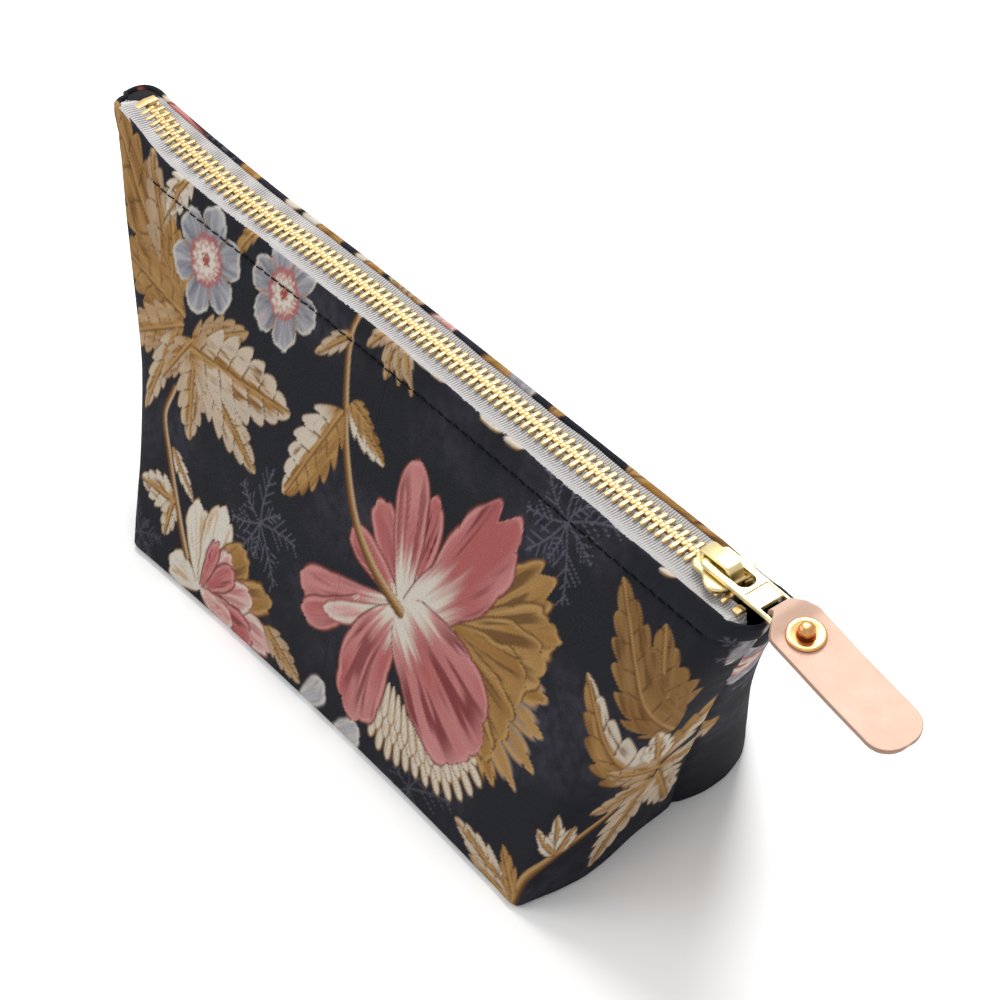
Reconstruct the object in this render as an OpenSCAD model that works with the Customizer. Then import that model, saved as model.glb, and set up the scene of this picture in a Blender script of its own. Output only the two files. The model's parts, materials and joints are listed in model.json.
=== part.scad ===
// Zippered pouch with boxed corners, a metal-toothed zip and a leather pull strap.
// Millimetres. +X runs along the zip towards its closed end, -Y is the printed front,
// +Z is up, and the origin is the middle of the base's underside.

/* [Pouch] */
// Half of the pouch's length along the zip, to the top of the side seam
top_half = 122.5; // [100:0.5:150]
// Half of the width across the rolled top edges
rim_half = 8; // [7:0.5:12]
// Height of the top edge, where the zip tape lies
rim_z = 85.6; // [70:0.1:110]
// Half of the base's length at the front corners
base_half = 78.3; // [65:0.1:95]
// Distance from the zip's plane to the front edge of the base
base_front = 43.5; // [35:0.5:55]
// Distance from the zip's plane to the back edge of the base
base_back = 40; // [35:0.5:55]
// How far the upright corners pull in at half height
waist = 3; // [0:0.5:5]

/* [Cloth] */
// Thickness of the printed outer cotton
outer_t = 0.6; // [0.4:0.1:1]
// Thickness of the fleece interlining
fleece_t = 0.6; // [0.4:0.1:1]
// Thickness of the lining
lining_t = 0.4; // [0.3:0.1:0.6]
// Gap left between the moving walls and their neighbours
wall_gap = 0.4; // [0.3:0.1:0.6]
// Height of the hem turned over at each end of the top edge
hem_h = 6.6; // [6:0.2:8]

/* [Zip] */
// Distance from tooth to tooth on one side
pitch = 2.4; // [2.2:0.1:2.6]
// Teeth on each side
teeth = 92; // [80:1:92]
// Length of a tooth's leg, from the chain's centre line
tooth_reach = 2.95; // [2.7:0.05:3.2]
// Height of a tooth
tooth_h = 2.6; // [2.4:0.1:2.8]
// Thickness of the tape
tape_t = 0.6; // [0.5:0.1:0.8]
// Length of a topstitch
stitch_len = 2.2; // [1.8:0.1:2.6]
// Distance from one topstitch to the next
stitch_step = 3; // [2.8:0.1:4]

/* [Slider] */
// Nose of the slider, the end that faces the closed teeth
slider_x = 98.5; // [90:0.5:100]
// Length of the slider
slider_len = 11.5; // [11:0.5:13]
// Height of the pull's pivot above the top edge
pivot_up = 4.1; // [4:0.1:4.5]
// Distance from the pull's pivot to the bar that the strap loops round
pull_reach = 21.9; // [20:0.1:24]
// Slope of the pull at rest
pull_droop = 1.5; // [1:0.1:2]

/* [Strap] */
// Width of the leather strap
strap_w = 13.4; // [12:0.1:14]
// Length of the strap from the loop's centre to the tip
strap_len = 37.5; // [34:0.5:42]
// Thickness of the leather
leather_t = 1.4; // [1.2:0.1:1.6]
// Slope of the strap at rest
strap_droop = 14.5; // [8:0.5:20]
// Radius of the rivet's shank
shank_r = 1.25; // [1:0.05:1.4]
// Distance from the loop's centre to the rivet
rivet_x = 6; // [5.9:0.1:7]

/* [Hidden] */
$fn = 32;
base_t = outer_t + fleece_t + lining_t;
wall_t = outer_t + fleece_t + lining_t;
hem_z = rim_z - hem_h;
gusset_top_t = (hem_z - base_t) / (rim_z - base_t);
// Bands of facets up each cloth panel
rows = 6;
// Middle of the chain's height, a tooth's width, and half of an interlocking head
tooth_z = rim_z + tape_t / 2;
tooth_w = 1.15;
head_half = 0.7;
// Outer edge of the tape, from the chain's centre line
tape_out = 7.4;
// Half of the slit in a tooth or a stop that grips the tape
slot_half = tape_t / 2 + 0.05;
first_tooth_x = slider_x + slider_len + 3 - teeth * pitch;
tail_x = slider_x + slider_len;
// The slider's two plates and the channel between them
plate_t = 1;
plate_gap = 3.2;
plate_low = tooth_z - plate_gap / 2 - plate_t;
plate_top = tooth_z + plate_gap / 2 + plate_t;
pivot_x = slider_x + 4.1;
pivot_z = rim_z + pivot_up;
// Round bar of the pull, and the inside of the leather loop round it
bar_r = 0.75;
loop_r = 1.35;

// Outline of the base's right end, from the front corner past the side seam to the back
function base_end() = [
    [base_half, -base_front],
    [base_half + 1.8, -base_front + 8],
    [base_half + 2.1, -base_front + 16],
    [base_half + 1.2, -base_front + 24],
    [base_half - 0.2, -base_front + 33],
    [base_half - 2.6, 0],
    [base_half - 0.8, 7],
    [base_half - 0.6, 14],
    [base_half - 3, 20],
    [base_half - 10, 26.5],
    [base_half - 19, base_back - 7],
    [base_half - 30, base_back - 2],
    [base_half - 40, base_back]
];

// The same stretch along the top edge: a half circle round the end of the zip
function top_end() = let (n = len(base_end()) - 1)
    [for (i = [0:n]) let (a = 180 * i / n)
        [top_half - rim_half + rim_half * sin(a), -rim_half * cos(a)]];

function mirrored(points) = [for (i = [len(points) - 1:-1:0]) [-points[i][0], points[i][1]]];
function whole(end) = concat(end, mirrored(end));
function unit(v) = v / norm(v);
function wrap(list, i) = list[(i + len(list)) % len(list)];

// Outline moved inwards by d, mitred at each point
function inset(list, d) = [for (i = [0:len(list) - 1])
    let (
        a = unit(wrap(list, i) - wrap(list, i - 1)),
        b = unit(wrap(list, i + 1) - wrap(list, i)),
        na = [-a[1], a[0]],
        nb = [-b[1], b[0]]
    )
    list[i] + d * (na + nb) / (1 + na * nb)];

// A point of the wall: outline index, height from 0 at the base to 1 at the rim, layer depth
function wall_point(low, high, i, t) = let (
        p = low[i] * (1 - t) + high[i] * t,
        side = p[0] > 0 ? 1 : -1
    )
    [p[0] - side * waist * 4 * t * (1 - t) * min(1, abs(p[0]) / 60), p[1],
        base_t + t * (rim_z - base_t)];

// Closed skin between two layer depths over outline points i0 to i1 and heights t0 to t1
module skin(i0, i1, d0, d1, t0, t1, trim = 0) {
    low = [inset(whole(base_end()), d0), inset(whole(base_end()), d1)];
    high = [inset(whole(top_end()), d0), inset(whole(top_end()), d1)];
    n = i1 - i0;
    points = [for (k = [0:1]) for (r = [0:rows]) for (c = [0:n])
        let (
            p = wall_point(low[k], high[k], (i0 + c) % len(low[k]), t0 + (t1 - t0) * r / rows),
            end = c == 0 ? 1 : c == n ? 1 : 0
        )
        [p[0] - (p[0] > 0 ? 1 : -1) * trim * end, p[1], p[2]]];
    w = n + 1;
    layer = w * (rows + 1);
    outside = [for (r = [0:rows - 1]) for (c = [0:n - 1]) let (a = r * w + c)
        each [[a, a + w + 1, a + 1], [a, a + w, a + w + 1]]];
    inside = [for (f = outside) [f[0] + layer, f[2] + layer, f[1] + layer]];
    bottom = [for (c = [0:n - 1])
        each [[c, c + 1, c + 1 + layer], [c, c + 1 + layer, c + layer]]];
    top = [for (c = [0:n - 1]) let (a = rows * w + c)
        each [[a, a + 1 + layer, a + 1], [a, a + layer, a + 1 + layer]]];
    left = [for (r = [0:rows - 1]) let (a = r * w)
        each [[a, a + layer, a + w], [a + w, a + layer, a + w + layer]]];
    right = [for (r = [0:rows - 1]) let (a = r * w + n)
        each [[a, a + w, a + layer], [a + w, a + w + layer, a + layer]]];
    polyhedron(points, concat(outside, inside, bottom, top, left, right));
}

// Stretches of the outline: the ends of base_end() are the front and back creases
last = len(base_end()) - 1;
seam = 5;
count = 2 * (last + 1);
wall_t0 = wall_gap / (rim_z - base_t);

module front_skin(d0, d1) skin(count - 1, count, d0, d1, wall_t0, 1, wall_gap);
module back_skin(d0, d1) skin(last, last + 1, d0, d1, wall_t0, 1, wall_gap);
module right_skin(d0, d1, i0, i1) skin(i0, i1, d0, d1, 0, gusset_top_t);
module left_skin(d0, d1, i0, i1) skin(count - 1 - i1, count - 1 - i0, d0, d1, 0, gusset_top_t);

module outer_front() color("midnightblue") front_skin(0, outer_t);
module outer_back() color("midnightblue") back_skin(0, outer_t);
module outer_gusset_right_front() color("darkslateblue") right_skin(0, outer_t, 0, seam);
module outer_gusset_right_back() color("slateblue") right_skin(0, outer_t, seam, last);
module outer_gusset_left_front() color("darkslateblue") left_skin(0, outer_t, 0, seam);
module outer_gusset_left_back() color("slateblue") left_skin(0, outer_t, seam, last);

module fleece_front() color("whitesmoke") front_skin(outer_t, outer_t + fleece_t);
module fleece_back() color("whitesmoke") back_skin(outer_t, outer_t + fleece_t);
module fleece_gusset_right() color("whitesmoke") right_skin(outer_t, outer_t + fleece_t, 0, last);
module fleece_gusset_left() color("whitesmoke") left_skin(outer_t, outer_t + fleece_t, 0, last);

module lining_front() color("slategray") front_skin(outer_t + fleece_t, wall_t);
module lining_back() color("slategray") back_skin(outer_t + fleece_t, wall_t);
module lining_gusset_right() color("slategray") right_skin(outer_t + fleece_t, wall_t, 0, last);
module lining_gusset_left() color("slategray") left_skin(outer_t + fleece_t, wall_t, 0, last);

module base_layer(z, t) {
    translate([0, 0, z])
        linear_extrude(t)
            polygon(whole(base_end()));
}
module outer_base() color("midnightblue") base_layer(0, outer_t);
module fleece_base() color("whitesmoke") base_layer(outer_t, fleece_t);
module lining_base() color("slategray") base_layer(outer_t + fleece_t, lining_t);

// Turned-over top edge of a gusset, the soft end of the pouch's mouth
module hem_right() color("navy") skin(0, last, 0, wall_t, gusset_top_t, 1);
module hem_left() color("navy") skin(last + 1, count - 1, 0, wall_t, gusset_top_t, 1);

// The teeth part inside the slider and stay parted as far as the top stops
function spread(x) = let (s = max(0, min(1, (x - slider_x - 3) / (slider_len - 4))))
    2.2 * s * s * (3 - 2 * s);

module tooth(x, side) {
    off = spread(x);
    translate([x, side * off, tooth_z]) {
        translate([-tooth_w / 2, -head_half, -tooth_h / 2 + 0.2])
            cube([tooth_w, 2 * head_half, tooth_h - 0.4]);
        for (up = [-1, 1])
            translate([-tooth_w / 2, side > 0 ? head_half : -tooth_reach,
                up > 0 ? slot_half : -tooth_h / 2])
                cube([tooth_w, tooth_reach - head_half, tooth_h / 2 - slot_half]);
    }
}
module tooth_row(side) {
    for (i = [0:teeth - 1])
        tooth(first_tooth_x + (i + (side > 0 ? 0.5 : 0)) * pitch, side);
}
module teeth_front() color("goldenrod") tooth_row(-1);
module teeth_back() color("goldenrod") tooth_row(1);

// Woven tape: its corded edge is gripped by the teeth, its outer edge is sewn under the rim
module tape(side) {
    xs = [for (i = [0:8]) slider_x + 3 + i * (slider_len + 6) / 8];
    edge = head_half + 0.25;
    inner = concat([[-top_half + 8, edge]], [for (x = xs) [x, edge + spread(x)]]);
    outer = [[xs[8], tape_out], [-top_half + 8, tape_out]];
    translate([0, 0, rim_z])
        linear_extrude(tape_t)
            mirror([0, side > 0 ? 0 : 1, 0])
                polygon(concat(inner, outer));
}
module zip_tape_front() color("gainsboro") tape(-1);
module zip_tape_back() color("gainsboro") tape(1);

module top_stop(side) {
    translate([tail_x + 4.9, side * (spread(tail_x + 5) + head_half), tooth_z])
        for (up = [-1, 1])
            translate([-1, side > 0 ? 0.1 : -2.3, up > 0 ? slot_half : -1.2])
                cube([2, 2.2, 1.2 - slot_half]);
}
module top_stop_front() color("darkgoldenrod") top_stop(-1);
module top_stop_back() color("darkgoldenrod") top_stop(1);

module bottom_stop() color("darkgoldenrod") {
    for (up = [-1, 1])
        translate([first_tooth_x - 4, -tooth_reach, tooth_z + (up > 0 ? slot_half : -1.3)])
            cube([2.4, 2 * tooth_reach, 1.3 - slot_half]);
    translate([first_tooth_x - 4, -head_half + 0.1, tooth_z - 1.3])
        cube([2.4, 2 * head_half - 0.2, 2.6]);
}

// One row of topstitches along a wall, below the rolled edge
module topstitches(depth) {
    lean = atan((depth - rim_half) / (rim_z - base_t));
    below_rim = 5.4;
    thread = 0.3;
    n = floor((top_half - rim_half - 4) / stitch_step);
    translate([0, -rim_half, rim_z])
        rotate([-lean, 0, 0])
            for (i = [-n:n])
                translate([i * stitch_step - stitch_len / 2, -thread, -below_rim])
                    cube([stitch_len, thread, thread + 0.1]);
}
module topstitch_front() color("black") topstitches(base_front);
module topstitch_back() color("black") mirror([0, 1, 0]) topstitches(base_back);

// Plan of the slider: narrow nose, wide shoulders, rounded tail
module slider_plan(nose, shoulder) {
    x0 = slider_x;
    polygon([
        [x0, -nose], [x0 + 4, -nose - 0.2], [x0 + 8, -shoulder], [x0 + 10.4, -shoulder],
        [tail_x, -shoulder + 1.4], [tail_x, shoulder - 1.4],
        [x0 + 10.4, shoulder], [x0 + 8, shoulder], [x0 + 4, nose + 0.2], [x0, nose]
    ]);
}
module slider_body() color("palegoldenrod") {
    difference() {
        translate([0, 0, plate_low])
            linear_extrude(plate_top - plate_low)
                slider_plan(4.1, 6);
        translate([0, 0, plate_low + plate_t])
            linear_extrude(plate_gap)
                polygon([
                    [slider_x - 1, -3.25], [slider_x + 3, -3.25], [slider_x + 7.5, -5.25],
                    [tail_x + 1, -5.4], [tail_x + 1, 5.4], [slider_x + 7.5, 5.25],
                    [slider_x + 3, 3.25], [slider_x - 1, 3.25]
                ]);
        translate([slider_x - 1, -8, tooth_z - 0.75])
            cube([slider_len + 2, 16, 1.5]);
        translate([slider_x + 6.4, -0.6, plate_top - plate_t - 1])
            cube([1.2, 1.2, 3]);
    }
    // wedge that parts the teeth
    translate([0, 0, plate_low + 0.5])
        linear_extrude(plate_gap + 1)
            polygon([[slider_x + 8.6, 0], [slider_x + 10.4, -0.9], [tail_x, -0.5],
                [tail_x, 0.5], [slider_x + 10.4, 0.9]]);
}
module slider_cap() color("lemonchiffon") {
    cap_top = pivot_z + 2.1;
    translate([0, 1.8, 0])
        rotate([90, 0, 0])
            linear_extrude(3.6)
                polygon([
                    [slider_x + 1, plate_top], [slider_x + 2.5, plate_top],
                    [slider_x + 2.5, cap_top - 1], [slider_x + 9.6, cap_top - 1],
                    [slider_x + 9.6, plate_top], [slider_x + 11, plate_top],
                    [slider_x + 11, cap_top - 0.8], [slider_x + 10.2, cap_top],
                    [slider_x + 1.8, cap_top - 0.2], [slider_x + 1, cap_top - 1.2]
                ]);
}
// Leaf with a tip that drops through the top plate to hold the teeth
module lock_spring() color("tan") {
    translate([slider_x + 5.4, -1, plate_top + 0.2])
        cube([3.6, 2, 0.3]);
    translate([slider_x + 6.65, -0.35, plate_top - plate_t])
        cube([0.7, 0.7, plate_t + 0.4]);
}

// The pull lies along +X from its pivot, in a frame of its own
module at_pivot() {
    translate([pivot_x, 0, pivot_z])
        rotate([0, pull_droop, 0])
            children();
}
// Flat frame: a round-ended window rides over the cap, a slot at the end takes the strap
module pull_tab() color("palegoldenrod") {
    pull_w = 6.8;
    pull_t = 1.3;
    window_half = 2.2;
    window_len = 9.4;
    slot_len = 4.9;
    slot_w = 5.8;
    end_bar = 0.6;
    at_pivot() {
        difference() {
            translate([0, -pull_w / 2, -pull_t / 2])
                cube([pull_reach + end_bar, pull_w, pull_t]);
            translate([-2, -window_half, -2])
                cube([window_len + 2, 2 * window_half, 4]);
            translate([window_len, 0, -2])
                cylinder(h = 4, r = window_half);
            translate([pull_reach - slot_len, -slot_w / 2, -2])
                cube([slot_len - end_bar, slot_w, 4]);
        }
        rotate([90, 0, 0])
            translate([0, 0, -pull_w / 2])
                cylinder(h = pull_w, r = bar_r);
    }
}
strap_origin = [
    pivot_x + pull_reach * cos(pull_droop), 0, pivot_z - pull_reach * sin(pull_droop)
];
module at_loop() {
    translate(strap_origin)
        rotate([0, strap_droop, 0])
            children();
}

// Side profile of the folded leather: upper leg, loop round the bar, short lower leg
module strap_profile() {
    r_out = loop_r + leather_t;
    pinch = 0.05;
    under = 10;
    polygon(concat(
        [[strap_len, pinch], [strap_len, pinch + leather_t], [1.9, pinch + leather_t]],
        [for (a = [90:15:270]) r_out * [cos(a), sin(a)]],
        [[1.9, -pinch - leather_t], [under, -pinch - leather_t], [under, -pinch], [1.6, -pinch]],
        [for (a = [270:-15:90]) loop_r * [cos(a), sin(a)]],
        [[1.6, pinch]]
    ));
}

// Plan of the leather: a neck that passes the pull's slot, flared shoulders, a round tip
module strap_plan() {
    corner = 5;
    neck = 2.7;
    half = strap_w / 2;
    square_end = strap_len - corner;
    union() {
        polygon([
            [-4, -neck], [0.4, -neck], [2, -neck - 2], [5, -half], [square_end, -half],
            [square_end, half], [5, half], [2, neck + 2], [0.4, neck], [-4, neck]
        ]);
        translate([square_end - 1, -half + corner])
            square([corner + 1, strap_w - 2 * corner]);
        for (s = [-1, 1])
            translate([square_end, s * (half - corner)])
                circle(r = corner);
    }
}
module leather_strap() color("bisque") {
    at_loop()
        difference() {
            intersection() {
                translate([0, strap_w / 2 + 1, 0])
                    rotate([90, 0, 0])
                        linear_extrude(strap_w + 2)
                            strap_profile();
                translate([0, 0, -6])
                    linear_extrude(12)
                        strap_plan();
            }
            translate([rivet_x, 0, -6])
                cylinder(h = 12, r = shank_r + 0.05);
        }
}
burr_z = 0.05 + leather_t;
burr_t = 0.9;
// Copper rivet: flat head underneath, shank through both legs, end peened over the burr
module rivet() color("peru") {
    head_t = 0.8;
    peen_z = burr_z + burr_t;
    at_loop()
        translate([rivet_x, 0, 0]) {
            translate([0, 0, -burr_z - head_t])
                cylinder(h = head_t, r = 3.6);
            translate([0, 0, -burr_z])
                cylinder(h = burr_z + peen_z, r = shank_r);
            translate([0, 0, peen_z])
                cylinder(h = 0.7, r = 1.9);
            translate([0, 0, peen_z + 0.7])
                cylinder(h = 0.6, r = 1.4);
        }
}
module rivet_burr() color("peru") {
    at_loop()
        translate([rivet_x, 0, burr_z])
            difference() {
                cylinder(h = burr_t, r = 4);
                translate([0, 0, -1])
                    cylinder(h = 3, r = shank_r + 0.05);
            }
}

outer_front();
outer_back();
outer_base();
outer_gusset_right_front();
outer_gusset_right_back();
outer_gusset_left_front();
outer_gusset_left_back();
fleece_front();
fleece_back();
fleece_base();
fleece_gusset_right();
fleece_gusset_left();
lining_front();
lining_back();
lining_base();
lining_gusset_right();
lining_gusset_left();
hem_right();
hem_left();
zip_tape_front();
zip_tape_back();
teeth_front();
teeth_back();
top_stop_front();
top_stop_back();
bottom_stop();
topstitch_front();
topstitch_back();
slider_body();
slider_cap();
lock_spring();
pull_tab();
leather_strap();
rivet();
rivet_burr();
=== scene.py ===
"""Zippered pouch: printed cotton, zip, slider, leather pull and rivet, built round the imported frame.

Lengths are millimetres until a mesh is made. Cloth has coordinates of its own: u is the distance round
the pouch from the middle of the front or back, and v is the distance up the wall from the base.
"""
import json
import math

import bmesh
import bpy
import numpy as np
from mathutils import Matrix, Vector


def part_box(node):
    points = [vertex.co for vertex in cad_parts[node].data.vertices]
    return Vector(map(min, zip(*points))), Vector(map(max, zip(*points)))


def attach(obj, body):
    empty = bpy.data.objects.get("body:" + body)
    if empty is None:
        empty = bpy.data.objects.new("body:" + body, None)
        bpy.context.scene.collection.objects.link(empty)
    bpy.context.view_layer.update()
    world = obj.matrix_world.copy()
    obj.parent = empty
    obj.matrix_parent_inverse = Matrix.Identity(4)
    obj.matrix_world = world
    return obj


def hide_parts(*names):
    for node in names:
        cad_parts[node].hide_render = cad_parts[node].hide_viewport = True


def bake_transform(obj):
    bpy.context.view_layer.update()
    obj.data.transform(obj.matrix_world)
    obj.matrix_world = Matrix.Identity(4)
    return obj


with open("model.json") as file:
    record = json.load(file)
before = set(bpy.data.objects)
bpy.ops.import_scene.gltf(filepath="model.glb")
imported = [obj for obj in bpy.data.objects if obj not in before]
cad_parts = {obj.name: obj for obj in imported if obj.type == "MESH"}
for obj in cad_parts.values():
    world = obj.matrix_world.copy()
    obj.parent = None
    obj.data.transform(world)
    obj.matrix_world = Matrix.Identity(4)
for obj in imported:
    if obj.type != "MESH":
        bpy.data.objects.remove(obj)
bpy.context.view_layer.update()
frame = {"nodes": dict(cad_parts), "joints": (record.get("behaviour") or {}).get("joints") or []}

MM = 0.001


def mm_box(node):
    """Low and high corners of a CAD node, in millimetres."""
    low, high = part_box(node)
    return np.array(low) / MM, np.array(high) / MM


# ---------------------------------------------------------------- sizes, from the frame where it has them
RIM_HIGH = mm_box("hem_right")[1]
TOP_HALF = RIM_HIGH[0]
RIM_HALF = 8.0               # half the rim's depth, front to back
RIM_Z = RIM_HIGH[2]
BASE_T = 1.6                 # height of the base's edge
WAIST = 3.0                  # how far the ends draw in at half height
SLANT = 90.8                 # height of the front panel, measured up the cloth
STITCH_BELOW = 5.4           # topstitch, below the fold
STITCH_PITCH = 3.0
STITCH_HALF = 1.36           # half the length of one thread
STITCH_START = -96           # where the row ends on the left, before the gusset
STITCH_END = 109             # and on the right
COTTON_T = 0.45
ROLL_R = 0.72                # the fold rolled over the zip tape
TAPE_Z = 86.0                # middle of the tape's top face
TAPE_W = 7.3
TAPE_T = 0.5
TAPE_GAP = 0.72              # from the middle of the chain to the tape's corded edge
TAPE_RIB = 0.75              # from rib to rib
TAPE_RIGHT = 117.3           # ends of the tape, from the middle
TAPE_LEFT = 116.8
TEETH_LOW, TEETH_HIGH = mm_box("teeth_front")
TOOTH_Z = (TEETH_LOW[2] + TEETH_HIGH[2]) / 2
PITCH = 2.4                  # from tooth to tooth on one side
TEETH = 92
TOOTH_W = 1.15
TOOTH_REACH = 2.95
FIRST_TOOTH = TEETH_LOW[0] + TOOTH_W / 2
SLIDER_LOW, SLIDER_HIGH = mm_box("slider_body")
NOSE = SLIDER_LOW[0]
TAIL = SLIDER_HIGH[0]
PLATE_LOW = SLIDER_LOW[2]
PLATE_TOP = SLIDER_HIGH[2]
CAP_TOP = mm_box("slider_cap")[1][2]
STOP_LOW, STOP_HIGH = mm_box("bottom_stop")
JOINTS = {j["name"]: j for j in frame["joints"]}
PIVOT = np.array(JOINTS["pull_swing"]["pos_m"]) / MM
LOOP = np.array(JOINTS["strap_swing"]["pos_m"]) / MM
PULL_DROOP = math.radians(1.5)      # how far pull and strap hang below level at rest
STRAP_DROOP = math.radians(14.5)
HINGES = {"front": ("front_wall", -1), "back": ("back_wall", 1)}


# ---------------------------------------------------------------- small maths
def smooth(a, b, x):
    """Eased step of x from 0 at a to 1 at b."""
    t = np.clip((np.asarray(x, float) - a) / (b - a), 0, 1)
    return t * t * (3 - 2 * t)


def chance(ix, iy, seed):
    """Fixed value from 0 to 1 for each grid cell."""
    h = np.sin(ix * 127.1 + iy * 311.7 + seed * 74.7) * 43758.5453
    return h - np.floor(h)


def noise(x, y, seed=0):
    """Smooth noise from -1 to 1."""
    ix, iy = np.floor(x), np.floor(y)
    fx, fy = smooth(0, 1, x - ix), smooth(0, 1, y - iy)
    low = chance(ix, iy, seed) * (1 - fx) + chance(ix + 1, iy, seed) * fx
    high = chance(ix, iy + 1, seed) * (1 - fx) + chance(ix + 1, iy + 1, seed) * fx
    return 2 * (low * (1 - fy) + high * fy) - 1


def cloud(x, y, seed=0, octaves=4):
    """Several sizes of noise together."""
    total = sum(noise(x * 2 ** k, y * 2 ** k, seed + k) / 2 ** k for k in range(octaves))
    return total / 1.9


def rgb(r, g, b):
    """Linear colour of a display colour given from 0 to 255."""
    c = np.array([r, g, b], float) / 255
    return np.where(c <= 0.04045, c / 12.92, ((c + 0.055) / 1.055) ** 2.4)


# ---------------------------------------------------------------- mesh building
def new_object(name, data):
    """Object in the scene for a mesh, curve, camera or light."""
    obj = bpy.data.objects.new(name, data)
    bpy.context.scene.collection.objects.link(obj)
    return obj


def quad_object(name, points, quads, flat=None):
    """Object of four-cornered faces; flat marks the faces that aren't shaded smoothly."""
    quads = np.asarray(quads, np.int32)
    mesh = bpy.data.meshes.new(name)
    mesh.vertices.add(len(points))
    mesh.vertices.foreach_set("co", (np.asarray(points) * MM).astype(np.float32).ravel())
    mesh.loops.add(quads.size)
    mesh.loops.foreach_set("vertex_index", quads.ravel())
    mesh.polygons.add(len(quads))
    mesh.polygons.foreach_set("loop_start", np.arange(0, quads.size, 4, dtype=np.int32))
    rounded = np.ones(len(quads), bool)
    if flat is not None:
        rounded[flat] = False
    mesh.polygons.foreach_set("use_smooth", rounded)
    mesh.update(calc_edges=True)
    mesh.validate()
    return new_object(name, mesh)


def grid_normals(grid):
    """Unit cross product of the column and row directions at each point of a grid."""
    along = np.gradient(grid, axis=1)
    up = np.gradient(grid, axis=0)
    n = np.cross(along, up)
    return n / np.maximum(np.linalg.norm(n, axis=2, keepdims=True), 1e-9)


def wall_normals(grid):
    """Normals of half a wall; the middle column has no sideways part, so that both halves meet."""
    n = grid_normals(grid)
    n[:, 0, 0] = 0
    return n / np.maximum(np.linalg.norm(n, axis=2, keepdims=True), 1e-9)


def sheet_faces(rows, cols, outward):
    """Faces of a closed sheet: outer grid, inner grid and the edge between them."""
    index = np.arange(rows * cols).reshape(rows, cols)
    outer = np.stack([index[:-1, :-1], index[:-1, 1:], index[1:, 1:], index[1:, :-1]], -1).reshape(-1, 4)
    inner = outer[:, ::-1] + rows * cols
    loop = np.concatenate([index[0, :-1], index[:-1, -1], index[-1, :0:-1], index[:0:-1, 0]])
    after = np.roll(loop, -1)
    rim = np.stack([after, loop, loop + rows * cols, after + rows * cols], -1)
    quads = np.concatenate([outer, inner, rim])
    if outward < 0:
        quads = quads[:, ::-1]
    return quads, np.arange(len(outer) * 2, len(quads))


def closed_sheet(name, grid, thickness, outward):
    """Cloth of some thickness whose outer face is the grid."""
    rows, cols = grid.shape[:2]
    inner = grid - grid_normals(grid) * outward * thickness
    quads, rim = sheet_faces(rows, cols, outward)
    points = np.concatenate([grid.reshape(-1, 3), inner.reshape(-1, 3)])
    return quad_object(name, points, quads, rim)


def loft(rings):
    """Points and quads of a tube through equal rings, its ends closed by narrowing strips."""
    rings = np.asarray(rings, float)
    n, k = rings.shape[:2]
    first, last = (end.mean(1, keepdims=True).repeat(k, 1) for end in (rings[:1], rings[-1:]))
    ends = [first, rings, last]
    points = np.concatenate(ends).reshape(-1, 3)
    index = np.arange((n + 2) * k).reshape(n + 2, k)
    turned = np.roll(index, -1, 1)
    quads = np.stack([index[:-1], turned[:-1], turned[1:], index[1:]], -1).reshape(-1, 4)
    return points, quads


def joined(name, parts):
    """One object of several (points, quads), with the corners that coincide welded."""
    points, quads, start = [], [], 0
    for p, q in parts:
        points.append(p)
        quads.append(np.asarray(q) + start)
        start += len(p)
    obj = quad_object(name, np.concatenate(points), np.concatenate(quads))
    weld(obj)
    return obj


def weld(obj, distance=0.001):
    """Joins the corners that coincide and turns the faces outward."""
    bm = bmesh.new()
    bm.from_mesh(obj.data)
    bmesh.ops.remove_doubles(bm, verts=bm.verts, dist=distance * MM)
    bmesh.ops.recalc_face_normals(bm, faces=bm.faces)
    bm.to_mesh(obj.data)
    bm.free()
    obj.data.update()


def soft_edges(obj, angle=35):
    """Edges sharper than the angle stay crisp."""
    obj.data.set_sharp_from_angle(angle=math.radians(angle))


def store(obj, name, values):
    """Keeps one number per point, for a material to read."""
    layer = obj.data.attributes.new(name, "FLOAT", "POINT")
    layer.data.foreach_set("value", np.asarray(values, np.float32))


def plate(name, outlines, low, high, bevel, rounds=2):
    """Flat plate with rounded edges from closed outlines in plan; inner outlines are holes."""
    curve = bpy.data.curves.new(name, "CURVE")
    curve.dimensions = "2D"
    curve.fill_mode = "BOTH"
    curve.extrude = ((high - low) / 2 - bevel) * MM
    curve.bevel_depth = bevel * MM
    curve.bevel_resolution = rounds
    curve.offset = -bevel * MM
    for outline in outlines:
        spline = curve.splines.new("POLY")
        spline.points.add(len(outline) - 1)
        for point, (x, y) in zip(spline.points, outline):
            point.co = (x * MM, y * MM, 0, 1)
        spline.use_cyclic_u = True
    obj = new_object(name + "_outline", curve)
    bpy.context.view_layer.update()
    mesh = bpy.data.meshes.new_from_object(obj.evaluated_get(bpy.context.evaluated_depsgraph_get()))
    bpy.data.objects.remove(obj)
    mesh.transform(Matrix.Translation((0, 0, (low + high) / 2 * MM)))
    made = new_object(name, mesh)
    weld(made, 0.01)
    mesh.shade_smooth()
    soft_edges(made, 40)
    return made


def merged(name, objects):
    """One object of several meshes."""
    bm = bmesh.new()
    for o in objects:
        bm.from_mesh(o.data)
    mesh = bpy.data.meshes.new(name)
    bm.to_mesh(mesh)
    bm.free()
    for o in objects:
        bpy.data.objects.remove(o)
    mesh.shade_smooth()
    obj = new_object(name, mesh)
    soft_edges(obj, 40)
    return obj


def arc_points(cx, cy, r, start, end, steps=8):
    """Points on a circle's arc between two angles in degrees."""
    angles = np.radians(np.linspace(start, end, steps))
    return [(cx + r * math.cos(a), cy + r * math.sin(a)) for a in angles]


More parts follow.
